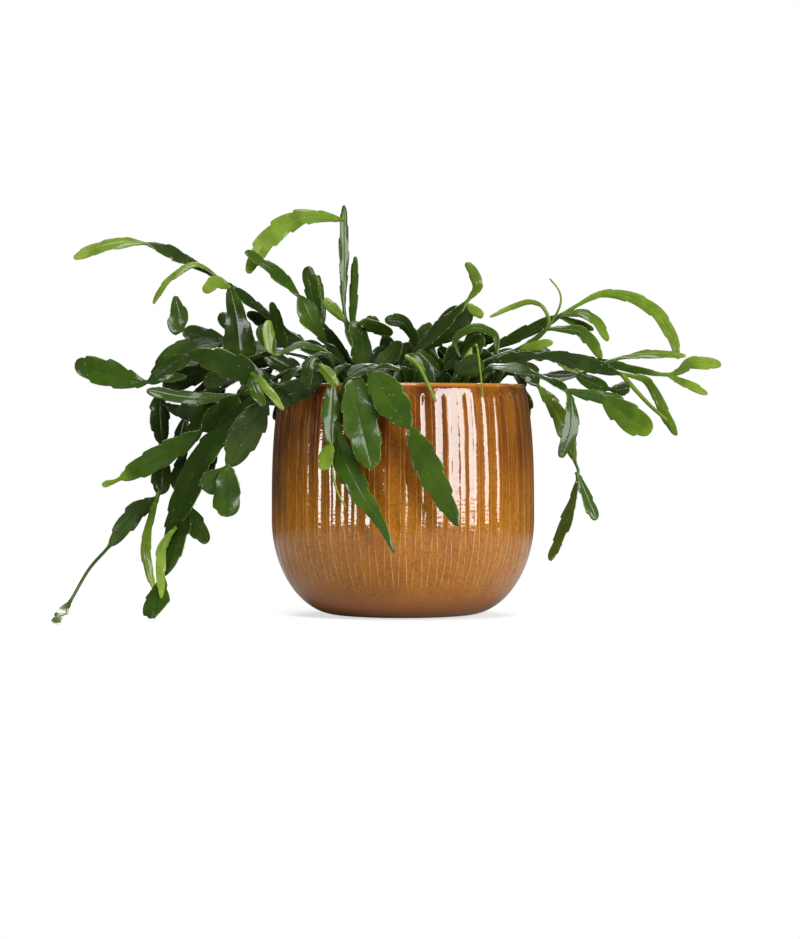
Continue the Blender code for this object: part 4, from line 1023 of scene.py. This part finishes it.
def woolTree(sizes):
    kit, size = startTree("setAreoles", sizes)
    knob = kit.node("GeometryNodeMeshIcoSphere", Radius=1.0, Subdivisions=1)
    out = kit.node("GeometryNodeInputNamedAttribute", {"data_type": "FLOAT_VECTOR"}, Name="out")
    stand = kit.node("FunctionNodeAlignRotationToVector", {"axis": "Z"}, Vector=out.outputs[0])
    large = kit.chance(size["Seed"], size["Smallest"], size["Largest"])
    shape = kit.vector("SCALE", (0.75, 1.25, 0.85), Scale=large)["Vector"]
    knobs = kit.node("GeometryNodeInstanceOnPoints", Points=size["Geometry"], Instance=knob.outputs[0],
                     Rotation=stand.outputs[0], Scale=shape)
    return kit.finish(knobs.outputs[0], size["Wool"])


def makeAreoles(tufts):
    mesh = plainMesh("areoles", [spot * mm for spot, _ in tufts])
    out = mesh.attributes.new("out", "FLOAT_VECTOR", "POINT")
    out.data.foreach_set("vector", [value for _, side in tufts for value in side])
    made = addObject("areoles", mesh)
    applyTree(made, woolTree, wool | {"Wool": makeWool()})
    made.data.shade_smooth()
    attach(made, "root")


stemSkin = makeSkin()
tufts = []
for name, (facing, roll, runs) in stems.items():
    makeStem(name, facing, roll, runs, stemSkin, tufts)
print("stems grown:", len(stems))
makeAreoles(tufts)
print("areoles set:", len(tufts))


# studio: a white floor that fades into a white surround, two upright window lights and soft lights above

studio = {
    "floorRadius": 1.6, "fadeFrom": 0.30, "fadeTo": 0.75, "floorWhite": 0.40, "floorGlow": 0.66,
    "surround": 1.0, "ambient": 0.115, "mirrored": 0.055, "window": (1.0, 0.985, 0.97), "aim": 0.09,
}
lights = {
    "windowRight": {"azimuth": 48, "distance": 1.7, "height": 0.43, "size": (1.05, 0.93), "power": 34},
    "windowLeft": {"azimuth": -48, "distance": 1.7, "height": 0.14, "size": (0.54, 0.35), "power": 8.5},
    "topFront": {"azimuth": -8, "distance": 0.90, "height": 1.5, "size": (0.9, 0.7), "power": 22},
    "topBack": {"azimuth": 200, "distance": 0.6, "height": 1.6, "size": (1.0, 1.0), "power": 7},
    "back": {"azimuth": 176, "distance": 1.4, "height": 1.05, "size": (1.2, 0.6), "power": 18},
}


def makeFloor():
    mesh = bpy.data.meshes.new("floor")
    disc = bmesh.new()
    bmesh.ops.create_circle(disc, cap_ends=True, segments=96, radius=studio["floorRadius"])
    disc.to_mesh(mesh)
    disc.free()
    mesh.transform(Matrix.Translation((0, 0, -0.0002)))
    floor = addObject("floor", mesh)
    tone = studio["floorWhite"]
    made, kit, shader = startMaterial("whiteFloor", Roughness=0.8, Specular_IOR_Level=0.2,
                                      Base_Color=(tone, tone, tone, 1), Emission_Color=(1, 1, 1, 1))
    # the floor looks white, and yet sends little light back up under the pot
    seen = kit.node("ShaderNodeLightPath").outputs["Is Camera Ray"]
    kit.wire(kit.times(seen, studio["floorGlow"]), shader.inputs["Emission Strength"])
    fade = kit.band(kit.vector("LENGTH", kit.place())["Value"], studio["fadeFrom"], studio["fadeTo"])
    mixed = kit.node("ShaderNodeMixShader", Fac=fade)
    kit.wire(shader.outputs[0], mixed.inputs[1])
    kit.wire(kit.node("ShaderNodeBsdfTransparent").outputs[0], mixed.inputs[2])
    kit.wire(mixed.outputs[0], kit.tree.nodes["Material Output"].inputs["Surface"])
    mesh.materials.append(made)


def makeLights():
    for name, light in lights.items():
        lamp = bpy.data.lights.new(name, "AREA")
        lamp.shape = "RECTANGLE"
        lamp.size, lamp.size_y = light["size"]
        lamp.energy = light["power"]
        lamp.color = studio["window"]
        made = addObject(name, lamp)
        azimuth = math.radians(light["azimuth"])
        spot = Vector((math.sin(azimuth), -math.cos(azimuth), 0)) * light["distance"]
        made.location = spot + Vector((0, 0, light["height"]))
        # window lights stand upright, and the lights above look down at the pot
        aim = Vector((0, 0, studio["aim"])) - made.location if light["height"] > 1 else -spot
        made.rotation_mode = "QUATERNION"
        made.rotation_quaternion = aim.to_track_quat("-Z", "Y")


def makeSurround():
    world = bpy.data.worlds.new("surround")
    world.use_nodes = True
    kit = NodeKit(world.node_tree)
    sky = kit.tree.nodes["Background"]
    sky.inputs["Color"].default_value = (1, 1, 1, 1)
    # white behind the object, and dimmer as a light and in reflections so that the lamps shape it
    path, ambient = kit.node("ShaderNodeLightPath").outputs, studio["ambient"]
    strength = kit.calc("MULTIPLY_ADD", path["Is Camera Ray"], studio["surround"] - ambient, ambient)
    strength = kit.calc("MULTIPLY_ADD", path["Is Glossy Ray"], studio["mirrored"] - ambient, strength)
    kit.wire(strength, sky.inputs["Strength"])
    scene.world = world
    scene.view_settings.view_transform = "Standard"


makeFloor()
makeLights()
makeSurround()
print("studio lit")
